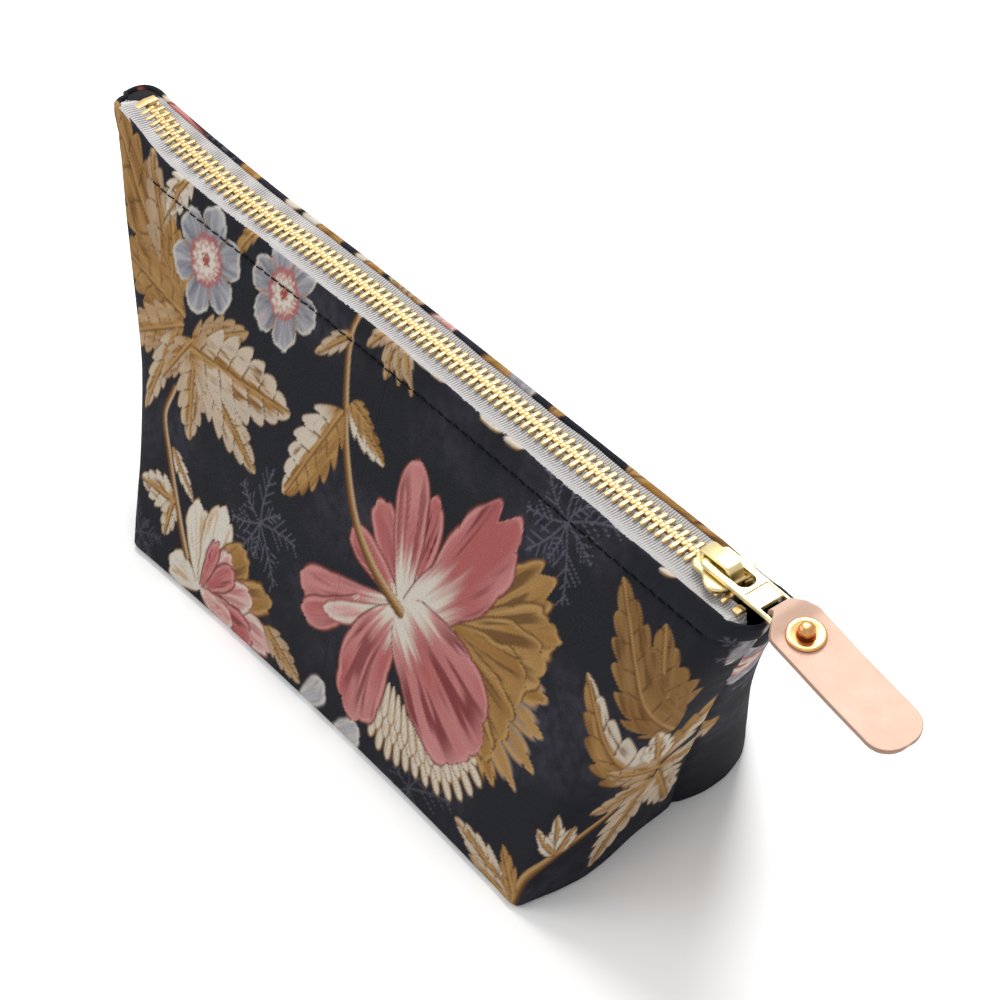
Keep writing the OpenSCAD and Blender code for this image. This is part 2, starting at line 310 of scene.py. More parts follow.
def round_box(x0, x1, y0, y1, r, steps=7):
    """Outline of a rectangle with round corners."""
    return (arc_points(x1 - r, y0 + r, r, -90, 0, steps) + arc_points(x1 - r, y1 - r, r, 0, 90, steps)
            + arc_points(x0 + r, y1 - r, r, 90, 180, steps) + arc_points(x0 + r, y0 + r, r, 180, 270, steps))


# ---------------------------------------------------------------- form of the pouch
def base_corners():
    """Right half of the base's outline, taken from the frame: the front corner first."""
    co = np.array([v.co for v in frame["nodes"]["outer_base"].data.vertices]) / MM
    low = np.unique(co[co[:, 2] < 0.01][:, :2].round(2), axis=0)
    low = low[np.argsort(np.arctan2(low[:, 1], low[:, 0]))]
    start = int(np.argmax(low[:, 0] - low[:, 1]))
    low = np.roll(low, -start, axis=0)
    return low[:len(low) // 2]


def with_middles(right):
    """Closed outline: front middle, right end, back middle, left end."""
    left = right[::-1] * [-1, 1]
    front = [[0, right[0, 1]]]
    back = [[0, right[-1, 1]]]
    return np.concatenate([front, right, back, left])


BASE_RIGHT = base_corners()
CORNERS = len(BASE_RIGHT)
END_ANGLES = np.radians(np.linspace(0, 180, CORNERS))
TOP_RIGHT = np.stack([TOP_HALF - RIM_HALF + RIM_HALF * np.sin(END_ANGLES), -RIM_HALF * np.cos(END_ANGLES)], 1)
BASE_LOOP = with_middles(BASE_RIGHT)
TOP_LOOP = with_middles(TOP_RIGHT)
SEAM_AT = 6                  # corner of the loop where the side seam runs
BACK_AT = CORNERS + 1        # corner of the loop in the middle of the back


def section(t):
    """Smoothed outline at height share t: its points, their distance along it, and the seam's and back's."""
    loop = BASE_LOOP * (1 - t) + TOP_LOOP * t
    loop[:, 0] -= np.sign(loop[:, 0]) * WAIST * 4 * t * (1 - t) * np.minimum(1, np.abs(loop[:, 0]) / 60)
    loop = np.vstack([loop, loop[:1]])
    gone = np.concatenate([[0], np.cumsum(np.linalg.norm(np.diff(loop, axis=0), axis=1))])
    count = 1400
    at = np.linspace(0, gone[-1], count, endpoint=False)
    xy = np.stack([np.interp(at, gone, loop[:, k]) for k in range(2)], 1)
    blur = 1.6 + 3.2 * math.sin(math.pi * min(1, t * 1.05)) ** 2
    frequency = np.fft.rfftfreq(count, gone[-1] / count)
    kernel = np.exp(-2 * (math.pi * frequency * blur) ** 2)[:, None]
    xy = np.fft.irfft(np.fft.rfft(xy, axis=0) * kernel, n=count, axis=0)
    return xy, at, gone[SEAM_AT], gone[BACK_AT]


def rim_lift(x):
    """The zip line dips a little left of the middle."""
    return -1.0 * np.exp(-((x + 68) / 30) ** 2)


def zip_drift(x):
    """The chain wanders towards the front, left of the middle."""
    return -1.2 * np.exp(-((x + 70) / 30) ** 2)


def left_curl(points, weight=1.0, reach=2.3):
    """Pulls the left end of the rim outward and up, the front corner most, and the zip's end with it."""
    x, y = points[..., 0], points[..., 1]
    share = smooth(-90, -117, x) * weight
    front = smooth(4, -6, y)
    moved = points.copy()
    moved[..., 0] -= reach * smooth(-40, -117, x) * weight
    moved[..., 1] += (0.8 + 1.3 * front) * share * smooth(9, 4, y)
    moved[..., 2] += (3.2 * front - 0.4) * share * smooth(9, 3, y)
    return moved


def zip_end(points):
    """The same for the zip, whose end reaches further."""
    moved = left_curl(points, 1.0, 4.6)
    moved[..., 1] += zip_drift(points[..., 0])
    moved[..., 2] += 0.5 * smooth(-90, -117, points[..., 0])
    return moved


def rim_pull(x, face):
    """How far the rim lies inside the frame's: the front bows in at its middle, the back all along."""
    if face == "front":
        return 1.1 * np.clip(1 - (x / 100) ** 2, 0, 1)
    return 1.3 * smooth(122, 108, np.abs(x)) + 0.8 * smooth(96, 112, x) * smooth(121, 117, x)


def relief(u, v, face):
    """How far the cloth stands out or in: soft dents, the stitched edge, and puckers at the seams."""
    to_seam = np.minimum(1, np.abs(np.abs(u) - SEAM_U[face](v)) / 9)
    dents = 0.55 * cloud(u / 34 + 3, v / 30, 11, 2) + 0.22 * cloud(u / 11, v / 13, 12, 2)
    out = dents * smooth(0, 0.5, to_seam) * smooth(0, 10, v) * (1 - 0.75 * smooth(70, 86, v))
    if face == "back":
        out = out * 0.5
    fold = v - (SLANT - STITCH_BELOW)
    out += 0.30 * smooth(0.4, 1.8, fold) * smooth(5.4, 3.0, fold)
    out -= 0.34 * np.exp(-(fold / 0.6) ** 2) * (0.75 + 0.25 * np.cos(u * 2 * np.pi / 3)) * smooth(-98, -90, u)
    out += 0.10 * np.sin(u * 2 * np.pi / 6 + 2 * noise(u / 20, v * 0, 3)) * np.exp(-(fold / 4) ** 2)
    pucker = np.exp(-to_seam * 4)
    out -= 0.55 * np.exp(-(to_seam * 9 / 1.1) ** 2)
    ripple = 0.30 * np.sin(v * 2 * np.pi / 8 + 3 * noise(v / 12, u * 0, 5))
    out += ripple * pucker * smooth(0, 8, v) * (1 - np.exp(-(to_seam * 9) ** 2))
    out += 0.35 * np.sin(u / 4.5 + 2 * noise(u / 15, v * 0, 7)) * np.exp(-v / 5) * smooth(70, 80, np.abs(u))
    return out


def seam_u(face):
    """Distance round the cloth from its middle to the side seam, against height."""
    shares = np.linspace(0, 1, 12)
    found = []
    for t in shares:
        _, _, seam, back = section(t)
        found.append(seam if face == "front" else back - seam)
    return lambda v: np.interp(v, shares * SLANT, found)


SEAM_U = {face: seam_u(face) for face in HINGES}


def wall(face, side, step, depth=0.0, top=1.0):
    """Grid of points over half a wall and its gusset, from the middle to the side seam, with u and v."""
    heights = np.linspace(0, top, int(round(SLANT * top / step)) + 1)
    columns = int(round(140 / step)) + 1
    points, us = [], []
    sign = HINGES[face][1]
    for t in heights:
        xy, at, seam, back = section(t)
        start = 0 if face == "front" else back
        s = np.linspace(start, seam, columns)
        x, y = np.interp(s, at, xy[:, 0]), np.interp(s, at, xy[:, 1])
        x[0] = 0
        middle = np.clip(1 - (x / (80 + 32 * t)) ** 2, 0, 1)
        puff = (1.3 if face == "front" else 0.5) * math.sin(math.pi * t) * (1 - 0.4 * t)
        puff -= (1.8 if face == "front" else 1.0) * (1 - t) ** 3
        y = y + sign * (puff * middle - rim_pull(side * x, face) * t)
        z = BASE_T + t * (RIM_Z - BASE_T) + rim_lift(side * x) * smooth(0.55, 1, t)
        if side < 0:
            z = z - 2.4 * smooth(116, 121, x) * smooth(0.8, 1, t) * smooth(4, -3, y)
        points.append(left_curl(np.stack([side * x, y, z], 1), float(smooth(0.62, 1, t))))
        us.append(side * np.abs(s - start))
    grid, u = np.array(points), np.array(us)
    v = np.repeat(heights[:, None] * SLANT, columns, 1)
    outward = -sign * side
    grid += wall_normals(grid) * outward * (relief(u, v, face) - depth)[..., None]
    return grid, u, v, outward


def with_edges(grid, u, v, outward, face):
    """Adds the curve under the base's edge and the fold rolled over the zip tape."""
    normals = wall_normals(grid) * outward
    low_n = normals[0] * [1, 1, 0]
    low_n /= np.linalg.norm(low_n, axis=1, keepdims=True)
    r = BASE_T - 0.1
    under, under_v = [], []
    for run in (5.0, 2.5):
        under.append(grid[0] - low_n * (r + run) - [0, 0, r])
        under_v.append(-r * 1.57 - run)
    for angle in np.radians([90, 68, 45, 22]):
        under.append(grid[0] - low_n * r * (1 - math.cos(angle)) - [0, 0, r * math.sin(angle)])
        under_v.append(-r * angle)
    up = grid[-1] - grid[-2]
    up /= np.linalg.norm(up, axis=1, keepdims=True)
    out = normals[-1]
    rise = 0.1 if face == "front" else 0.8
    lean = 0.25 * noise(u[-1] / 18, u[-1] * 0, 21)[:, None]
    fold, fold_v = [], []
    angles = np.radians(np.arange(0, 211, 21))
    if face == "front":
        angles = angles[1:]
    else:
        fold.append(grid[-1] + up * rise / 2)
        fold_v.append(rise / 2)
    for angle in angles:
        across = ROLL_R * (1 - math.cos(angle))
        fold.append(grid[-1] + up * (rise + ROLL_R * math.sin(angle)) - out * across * (1 + lean))
        fold_v.append(rise + ROLL_R * angle)
    grid = np.concatenate([under, grid, fold])
    u = np.concatenate([u[:1].repeat(len(under), 0), u, u[-1:].repeat(len(fold), 0)])
    ones = np.ones(u.shape[1])
    v = np.concatenate([np.outer(under_v, ones), v, np.outer(np.array(fold_v) + SLANT, ones)])
    return grid, u, v


# ---------------------------------------------------------------- the print
NAVY = rgb(24, 27, 38)
CLOUD = rgb(78, 75, 90)
OCHRE = rgb(168, 120, 58)
OCHRE_DARK = rgb(112, 74, 32)
OCHRE_LIGHT = rgb(200, 158, 98)
CREAM = rgb(222, 214, 200)
PINK = rgb(188, 100, 98)
ROSE = rgb(216, 152, 148)
CRIMSON = rgb(132, 40, 48)
GREY = rgb(186, 186, 190)
GREY_DARK = rgb(124, 124, 136)
BLUE_GREY = rgb(146, 140, 142)
SPRIG = rgb(112, 110, 126)
RED_BROWN = rgb(176, 84, 72)
INK, INK_GAIN = 0.44, 0.26   # how much of a tone's light comes back, and how much more where it is pale
BACK_SHIFT = -15             # the back is cut from another place on the cloth


class Print:
    """Paints motifs over scattered cloth points, in millimetres of cloth."""

    def __init__(self, u, v):
        self.u, self.v = u, v
        speckle = 0.6 + 0.9 * cloud(u / 1.8, v / 1.8, 35, 3)
        patches = smooth(0.05, 0.7, cloud(u / 26 + 40, v / 17, 31)) * speckle
        weave = 1 + 0.10 * cloud(u * 1.3, v * 1.3, 41, 2)
        self.colour = (NAVY + (CLOUD - NAVY) * (0.6 * np.clip(patches, 0, 1))[:, None]) * weave[:, None]

    def near(self, x, y, r):
        """Points in a square about a place."""
        return np.flatnonzero((np.abs(self.u - x) < r) & (np.abs(self.v - y) < r))

    def mix(self, index, colour, share):
        """Covers a share of the points' colour."""
        share = np.clip(share, 0, 1)[:, None]
        self.colour[index] = self.colour[index] * (1 - share) + colour * share

    def local(self, base, tip, width, bend):
        """Points near a leaf or petal: their share of its length, and distance from its midline."""
        base, tip = np.array(base, float), np.array(tip, float)
        length = np.linalg.norm(tip - base)
        index = self.near(*(base + tip) / 2, length / 2 + width + abs(bend) + 2)
        along = (tip - base) / length
        du, dv = self.u[index] - base[0], self.v[index] - base[1]
        a = (du * along[0] + dv * along[1]) / length
        s = dv * along[0] - du * along[1] - bend * 4 * a * (1 - a)
        return index, a, s, length

    def leaf(self, base, tip, width, lobes=5, cream=0.0, dark=0.0, bend=0.0):
        """Lobed leaf with veins; cream from 0 to 1 lightens its edges, and a negative value one side only."""
        index, a, s, length = self.local(base, tip, width, bend)
        share = np.clip(a, 0.001, 0.999)
        across = np.abs(s) / width
        wobble = 0.10 * noise(a * 7 + width, s / 3, 51)
        tooth = (share * lobes - 0.8 * across + wobble + 0.4 * (s > 0)) % 1
        outline = np.sin(np.pi * share ** 0.8) ** 0.75
        half = width * outline * (0.58 + 0.46 * tooth ** 0.6 * (1 - tooth ** 9))
        inside = (half - np.abs(s)) * ((a > 0) & (a < 1)) - 9 * ((a <= 0) | (a >= 1))
        cover = smooth(-0.25, 0.35, inside)
        edge = np.clip(np.abs(s) / np.maximum(half, 0.1), 0, 1)
        brush = noise(s * 0.9 + a * 5, a * length / 7, 53) + 0.6 * noise(s * 2.4, a * length / 4, 54)
        body = OCHRE + (OCHRE_LIGHT - OCHRE) * np.clip(0.28 + 0.45 * brush, 0, 1)[:, None]
        self.mix(index, OCHRE_DARK, smooth(-0.5, -0.15, inside) * (a > 0.03) * 0.6)
        self.mix(index, body, cover)
        self.mix(index, OCHRE_DARK, cover * (dark + 0.45 * smooth(0.1, 0.9, -brush)))
        self.mix(index, OCHRE_LIGHT, cover * 0.5 * smooth(0.8, 1.0, edge) * (cream >= 0) * (1 - dark))
        if cream:
            lit = smooth(0.20, 0.55, edge + 0.35 * brush + 0.25 * (tooth - 0.5))
            lit = lit * (1 if cream > 0 else (s < 0)) * smooth(0.0, 0.25, share)
            self.mix(index, CREAM, cover * lit * abs(cream))
        vein = smooth(0.16, 0.03, tooth) * (across > 0.04) * smooth(0.9, 0.6, edge)
        self.mix(index, OCHRE_DARK, cover * 0.8 * vein)
        rib = np.exp(-(s / (0.25 + 0.35 * (1 - share))) ** 2)
        self.mix(index, OCHRE_LIGHT, cover * 0.8 * rib)
        self.mix(index, OCHRE_DARK, cover * 0.8 * np.exp(-((s - 0.6) / 0.25) ** 2))

    def petal(self, base, tip, width, tones, throat=0.35, deep=0.8, bend=0.0, ruffle=1.0, swell=0.62,
              scallops=3):
        """Rounded petal with a scalloped edge, a white throat, strokes of the deep tone and a pale rim."""
        main, pale, dark = tones
        index, a, s, length = self.local(base, tip, width, bend)
        fan = s / (width * (0.3 + 0.7 * np.clip(a, 0, 1)))
        notch = 1 - np.abs(np.sin((fan * 0.5 + 0.5) * np.pi * scallops)) ** 0.5
        wave = 0.05 * notch + 0.03 * noise(fan * 3.7 + width, fan * 0 + length, 61)
        a = a + ruffle * wave * smooth(0.3, 0.8, a)
        share = np.clip(a, 0.001, 0.999)
        side = np.sign(s) * 3 + width
        dip = 1 - np.abs(np.sin(np.pi * (share * 3.3 + side * 0.37))) ** 0.5
        frill = 0.07 * noise(share * 5.3 + length, side, 63) - 0.09 * dip * share
        half = width * share ** swell * (1 - share ** 4.5) ** 0.5 * (1 + ruffle * frill)
        inside = np.minimum(half - np.abs(s), (1 - a) * length)
        inside = np.where(a < 0, -9, inside)
        cover = smooth(-0.2, 0.3, inside)
        stroke = noise(fan * 5.2 + width * 3, a * 1.8, 65) + 0.6 * noise(fan * 12, a * 3.5, 66)
        soft = noise(fan * 1.7 + length, a * 2.5, 67)
        self.mix(index, (OCHRE_DARK + dark) / 2, smooth(-0.6, -0.15, inside) * 0.9 * (a > 0.05))
        lighter = np.clip(0.35 + 0.5 * soft + 0.15 * stroke, 0, 1)[:, None]
        self.mix(index, main + (pale - main) * lighter, cover)
        band = smooth(0.18, 0.45, share) * smooth(1.0, 0.78, share)
        self.mix(index, dark, cover * deep * band * smooth(0.0, 0.6, stroke + 0.5 * soft))
        self.mix(index, dark, cover * deep * 0.5 * smooth(0.9, 0.2, inside) * smooth(0.1, 0.5, share))
        self.mix(index, CREAM, cover * smooth(throat, throat * 0.35, share + 0.14 * stroke))
        rim = smooth(0.1, 0.5, inside) * smooth(1.5, 0.5, inside + 0.5 * stroke)
        self.mix(index, pale, cover * 0.8 * rim * smooth(0.15, 0.4, share))

    def stem(self, points, thick, thin, cream=0.0):
        """Curved stalk through the points, from thick to thin."""
        points = np.array(points, float)
        fine = np.linspace(0, len(points) - 1, 10 * len(points))
        ends = np.vstack([2 * points[0] - points[1], points, 2 * points[-1] - points[-2]])
        k = np.minimum(fine.astype(int), len(points) - 2)
        f = (fine - k)[:, None]
        a, b, c, d = ends[k], ends[k + 1], ends[k + 2], ends[k + 3]
        square, cube = 2 * a - 5 * b + 4 * c - d, 3 * b - a - 3 * c + d
        path = 0.5 * (2 * b + (c - a) * f + square * f ** 2 + cube * f ** 3)
        widths = np.linspace(thick, thin, len(path)) / 2
        best = None
        index = self.near(*(path.min(0) + path.max(0)) / 2, np.ptp(path, axis=0).max() / 2 + 3)
        for p, q, w in zip(path[:-1], path[1:], widths):
            d = q - p
            du, dv = self.u[index] - p[0], self.v[index] - p[1]
            f = np.clip((du * d[0] + dv * d[1]) / (d @ d), 0, 1)
            off = np.hypot(du - f * d[0], dv - f * d[1])
            side = (dv * d[0] - du * d[1]) / np.linalg.norm(d) / w
            inside = w - off
            best = [inside, side] if best is None else [
                np.maximum(best[0], inside), np.where(inside > best[0], side, best[1])]
        inside, side = best
        cover = smooth(-0.25, 0.3, inside)
        self.mix(index, OCHRE_DARK, cover)
        self.mix(index, OCHRE, cover * smooth(-0.6, 0.0, side))
        self.mix(index, CREAM * cream + OCHRE_LIGHT * (1 - cream), cover * smooth(0.0, 0.5, side) * 0.8)

    def daisy(self, centre, radius, lobes=6, turn=0.3, tint=0.0):
        """Open flower seen from the front: grey-white lobes round a pink ring."""
        index = self.near(*centre, radius * 1.2)
        du, dv = self.u[index] - centre[0], self.v[index] - centre[1]
        r = np.hypot(du, dv) / radius
        angle = np.arctan2(dv, du)
        c = np.abs(np.cos(lobes * (angle - turn) / 2))
        frill = 0.03 * noise(angle * 5, r * 0, 71) + 0.03 * noise(angle * 13, r * 0, 72)
        edge = 0.60 + 0.38 * c ** 0.45 + frill
        cover = smooth(-0.02, 0.03, edge - r)
        brush = noise(angle * 11, r * 2.5, 73) + 0.5 * noise(angle * 24, r * 4, 74)
        shade = np.clip(0.55 + 0.45 * brush + 0.8 * (r - 0.6), 0, 1)[:, None]
        self.mix(index, GREY_DARK + (GREY - GREY_DARK) * shade, cover)
        self.mix(index, CREAM, cover * smooth(0.10, 0.02, edge - r) * 0.8)
        self.mix(index, OCHRE, cover * smooth(0.30, 0.05, c) * 0.55)
        self.mix(index, ROSE, cover * tint * smooth(0.2, 0.9, brush))
        heart = 0.44 + 0.03 * noise(angle * 4, r * 0, 75)
        self.mix(index, PINK, smooth(heart + 0.05, heart - 0.02, r) * 0.85)
        self.mix(index, CREAM, smooth(0.40, 0.30, r + 0.06 * brush))
        self.mix(index, PINK, smooth(0.05, 0.02, np.abs(r - 0.28 - 0.04 * np.sin(angle * 9))) * 0.5)
        self.mix(index, RED_BROWN, smooth(0.15, 0.08, r + 0.05 * brush))

    def sprig(self, centre, radius, arms, turn, strength):
        """Faint star of feathery twigs."""
        index = self.near(*centre, radius + 1)
        du, dv = self.u[index] - centre[0], self.v[index] - centre[1]
        share = np.zeros(len(index))
        for k in range(arms):
            angle = turn + 2 * math.pi * k / arms + 0.25 * math.sin(5.1 * k + turn)
            reach = radius * (0.8 + 0.2 * math.sin(3.7 * k + 1))
            x = du * math.cos(angle) + dv * math.sin(angle)
            y = dv * math.cos(angle) - du * math.sin(angle)
            y = y - 0.04 * radius * np.sin(x / reach * 3)
            share = np.maximum(share, smooth(0.34, 0.14, np.abs(y)) * (x > 0) * (x < reach))
            for j in range(1, 5):
                root = reach * (0.16 + 0.18 * j)
                twig = reach * (0.30 - 0.05 * j + 0.05 * math.sin(4.3 * k + 2.1 * j))
                ahead = x - root - 0.04 * reach * np.sign(y) * math.sin(2.9 * k + j)
                off = np.abs(np.abs(y) - ahead * 0.95)
                share = np.maximum(share, smooth(0.36, 0.14, off) * (ahead > 0) * (ahead < twig))
        self.mix(index, SPRIG, share * strength)

    def frill(self, centre, start, end, near, far, length, width):
        """Rows of small cream drops that point away from the centre, over a range of angles in degrees."""
        for row, inward in enumerate((0, 3.6, 7.0)):
            for k in range(13):
                angle = math.radians(start + (end - start) * (k + 0.5 * (row % 2)) / 12.5)
                radius = near + (far - near) * k / 12 - inward + 1.2 * math.sin(7.1 * k + row)
                direction = np.array([math.cos(angle), math.sin(angle)])
                root = np.array(centre) + direction * (radius - length)
                self.petal(root, root + direction * length, width, CREAM_TONES, 0.05, 0.8, 0, 0.4)


ROSE_TONES = (PINK, ROSE, CRIMSON)
CREAM_TONES = (CREAM, CREAM, OCHRE_LIGHT)
OCHRE_TONES = (OCHRE, OCHRE_LIGHT, OCHRE_DARK)
BLUE_TONES = (OCHRE, OCHRE_LIGHT, BLUE_GREY)
PALE_TONES = (ROSE, CREAM, PINK)
GREY_TONES = (GREY, CREAM, GREY_DARK)


def big_flower(p):
    """Large open bloom over an ochre fan, with its stalk and a cream frill."""
    for tip, width, tones in [
            ((63, 20), 4.5, OCHRE_TONES), ((69, 24), 4, BLUE_TONES), ((73, 31), 4.5, BLUE_TONES),
            ((74, 39), 4.5, BLUE_TONES), ((73, 47), 5, BLUE_TONES), ((66, 72), 9, OCHRE_TONES),
            ((72, 63), 8, OCHRE_TONES), ((70, 54), 9, OCHRE_TONES), ((66, 44), 10, OCHRE_TONES),
            ((64, 33), 9, OCHRE_TONES), ((60, 25), 6, OCHRE_TONES)]:
        p.petal((38, 44), tip, width, tones, 0.01, 0.8, 0, 1.4, 0.5)
    p.frill((24, 38), -104, -27, 31, 41, 9.5, 1.6)
    p.petal((22, 41), (7, 59), 6.5, ROSE_TONES, 0.25, 0.3, 0, 0.8)
    p.petal((22, 41), (0, 48), 5.5, ROSE_TONES, 0.25, 0.4, 0, 0.8)
    p.petal((22, 42), (25, 69), 6.0, ROSE_TONES, 0.35, 1.0, -1, 0.8)
    p.petal((22, 41), (16, 73), 7.5, ROSE_TONES, 0.45, 0.6, 0, 0.6, 0.5, 1)
    p.petal((23, 39), (51, 77), 13.0, ROSE_TONES, 0.50, 0.8, -2, 1.8, 0.5, 3)
    p.petal((20, 40), (-14, 27), 8.0, ROSE_TONES, 0.35, 0.45, 2, 0.8)
    p.petal((8, 35), (-12, 20), 5.5, ROSE_TONES, 0.05, 0.3, 2, 0.8)
    p.petal((18, 38), (-4, 25), 3.6, PALE_TONES, 0.60, 0.4, 1, 0.8)
    p.petal((22, 40), (11, 6), 12.0, ROSE_TONES, 0.28, 0.75, -2, 1.2, 0.5)
    p.petal((22, 41), (54, 22), 19.0, ROSE_TONES, 0.32, 0.85, 0, 0.9, 0.42, 4)
    p.stem([(-14, 96), (-15, 84), (-11, 70), (-5, 58), (2, 49), (11, 43), (22, 39.5)], 1.7, 3.2, 0.3)
    p.leaf((-11, 72), (6, 66), 3.8, 4, -0.9)
    p.leaf((-10, 73), (-1, 71), 3.0, 3)
    p.leaf((-12, 70), (-26, 42), 8.5, 6, -0.8)
    p.leaf((-15, 87), (-26, 77), 2.6, 3, 0.5)
    for tip, width in [((-9, 87), 3), ((-1, 83), 3.4), ((4, 84), 3), ((9, 84), 2.6)]:
        p.leaf((-1, 98), tip, width, 3, 0.35)


def palm_cluster(p):
    """Ochre leaves that spread from a stalk, with cream tips."""
    p.leaf((-76, 64), (-118, 92), 11, 7, 0.0, 0.15)
    p.leaf((-80, 64), (-98, 92), 7.5, 6, 0.3, 0.1)
    p.leaf((-78, 64), (-86, 81), 6.5, 5)
    p.leaf((-74, 62), (-106, 66), 8.0, 6, 0.0, 0.1)
    p.leaf((-74, 60), (-98, 46), 7.0, 6, 0.2)
    p.leaf((-76, 58), (-84, 33), 4.5, 5, 0.5)
    p.leaf((-70, 58), (-79, 44), 4.5, 4, 0.3)
    p.leaf((-70, 58), (-50, 70), 5.5, 5, 0.2)
    p.leaf((-68, 56), (-64, 35), 7.0, 5, 0.45)
    p.leaf((-68, 56), (-37, 41), 7.5, 6, 0.55)
    p.leaf((-70, 56), (-29, 60), 10.5, 7, 0.65)
    p.stem([(-73, 44), (-75, 36), (-71, 28), (-65, 19), (-57, 8)], 1.8, 2.2, 0.5)
    p.leaf((-70, 30), (-58, 22), 2.4, 4, 0.9)
    p.leaf((-65, 18), (-80, 17), 5.0, 4, 0.8)
    p.leaf((-66, 18), (-67, 8), 3.6, 3, 0.7)


def low_flower(p):
    """Half-open bloom that rises from the base line."""
    for tip, width, tones in [
            ((-63, 4), 6, CREAM_TONES), ((-56, 23), 7, CREAM_TONES), ((-45, 27), 7.5, CREAM_TONES),
            ((-34, 21), 7, OCHRE_TONES), ((-23, 15), 6, OCHRE_TONES), ((-20, 4), 6, PALE_TONES),
            ((-40, 18), 4, PALE_TONES), ((-30, 11), 6, PALE_TONES), ((-28, 1), 6, ROSE_TONES),
            ((-38, 14), 4.5, ROSE_TONES), ((-36, 0), 5, PALE_TONES), ((-46, 18), 3, ROSE_TONES)]:
        p.petal((-50, 3), tip, width, tones, 0.15, 0.7, 0, 1.3)
    p.leaf((-24, 8), (-8, 2), 4.0, 4, 0.3)
    p.petal((-8, -3), (1, 7), 5, GREY_TONES, 0.1, 0.4)
    p.petal((4, -4), (16, 4), 5, GREY_TONES, 0.1, 0.4)


def right_leaves(p):
    """Leaves that meet at the right-hand side seam, on a curved stalk."""
    p.stem([(77, -2), (79, 7), (85, 14), (92, 19), (99, 24), (106, 32), (110, 42)], 2.6, 1.8, 0.1)
    p.leaf((107, 58), (100, 82), 8.0, 5, 0.0, 0.45)
    p.leaf((108, 50), (85, 84), 9.0, 7, 0.0, 0.45)
    p.leaf((107, 34), (123, 60), 6.0, 5, -0.6, 0.1)
    p.leaf((107, 30), (82, 60), 7.5, 6, -0.8, 0.15)
    p.leaf((107, 34), (104, 52), 4.5, 4, 0.9)
    p.leaf((108, 32), (94, 40), 4.5, 4, 0.25)
    p.leaf((107, 28), (92, 26), 4.5, 4, 0.35)
    p.leaf((107, 28), (96, 2), 6.5, 6, 0.55)
    p.leaf((108, 30), (118, 6), 6.0, 5, 0.6)
    p.leaf((108, 32), (128, 26), 5.0, 5, 0.5)
    for tip in [(84, 26), (79, 20), (89, 23)]:
        p.leaf((86, 15), tip, 2.4, 2, 0.9)
    p.leaf((77, 1), (53, 6), 4.0, 5, 0.7)
    p.leaf((77, 2), (70, 10), 3.2, 3)
    p.leaf((77, 0), (60, 1), 2.2, 4, 0.6)


def daisies(p):
    """Two grey-white daisies and small leaves, above the palm-like cluster."""
    p.leaf((-55, 95), (-61, 84), 2.4, 3)
    p.leaf((-82, 94), (-88, 81), 5.0, 4, 0.9)
    p.daisy((-70.5, 78), 13.5, 6, 0.45)
    p.daisy((-41, 84), 13.0, 6, 0.9, 0.35)


def buds(p):
    """Small pale petals and buds near the top edge and on the right-hand gusset."""
    for x, y, r in [(10, 93, 3), (15, 93, 3), (35, 92.5, 4), (43, 92, 3), (96, 92, 2.2)]:
        p.petal((x - r, y - 1), (x + r, y + 1), r * 0.7, CREAM_TONES, 0.1, 0.5, 0, 0.5)
    p.petal((116, 76), (124, 86), 5, (BLUE_GREY, GREY, SPRIG), 0.1, 0.8, 0, 2)
    p.petal((122, 84), (130, 92), 5, (GREY, CREAM, BLUE_GREY), 0.1, 0.6, 0, 2)
    p.petal((121, 70), (134, 76), 3, OCHRE_TONES, 0.1, 0.5, -2)
    p.daisy((-134, 70), 12, 6, 0.2)
    p.leaf((-122, 40), (-140, 20), 7, 5, 0.5)


def back_edge(p):
    """Petals and leaf tips that cross the back's rolled edge."""
    p.petal((62, 100), (98, 96), 8, ROSE_TONES, 0.15, 0.6)
    p.petal((101, 100), (110, 95), 4, ROSE_TONES, 0.15, 0.6)
    p.petal((66, 99), (58, 90), 4, OCHRE_TONES, 0.05, 0.5)
    p.petal((36, 99), (24, 91), 6, OCHRE_TONES, 0.2, 0.5)
    p.petal((18, 99), (8, 92), 4, OCHRE_TONES, 0.3, 0.5)
    p.petal((-8, 97), (-20, 92), 4, PALE_TONES, 0.2, 0.5)
    p.petal((-26, 99), (-40, 91), 5, OCHRE_TONES, 0.3, 0.6)
    p.petal((-78, 98), (-104, 90), 7, OCHRE_TONES, 0.1, 0.7)
    p.petal((-98, 97), (-122, 91), 6, OCHRE_TONES, 0.2, 0.7)


def paint(u, v, back):
    """Colours of the print at cloth points."""
    p = Print(u.ravel(), v.ravel())
    for centre, radius, arms, turn, strength in [
            ((-32, 31), 15, 8, 0.1, 0.75), ((65, 85), 17, 9, 0.35, 0.75), ((36, 2), 16, 8, 0.3, 0.45),
            ((121, 80), 10, 7, 0.6, 0.6), ((-76, 4), 9, 6, 0.2, 0.4), ((148, 30), 15, 8, 0.4, 0.75),
            ((-118, 60), 13, 8, 0.4, 0.75)]:
        p.sprig(centre, radius, arms, turn, strength)
    for motif in (right_leaves, low_flower, palm_cluster, daisies, big_flower, buds):
        motif(p)
    if back:
        back_edge(p)
    return p.colour


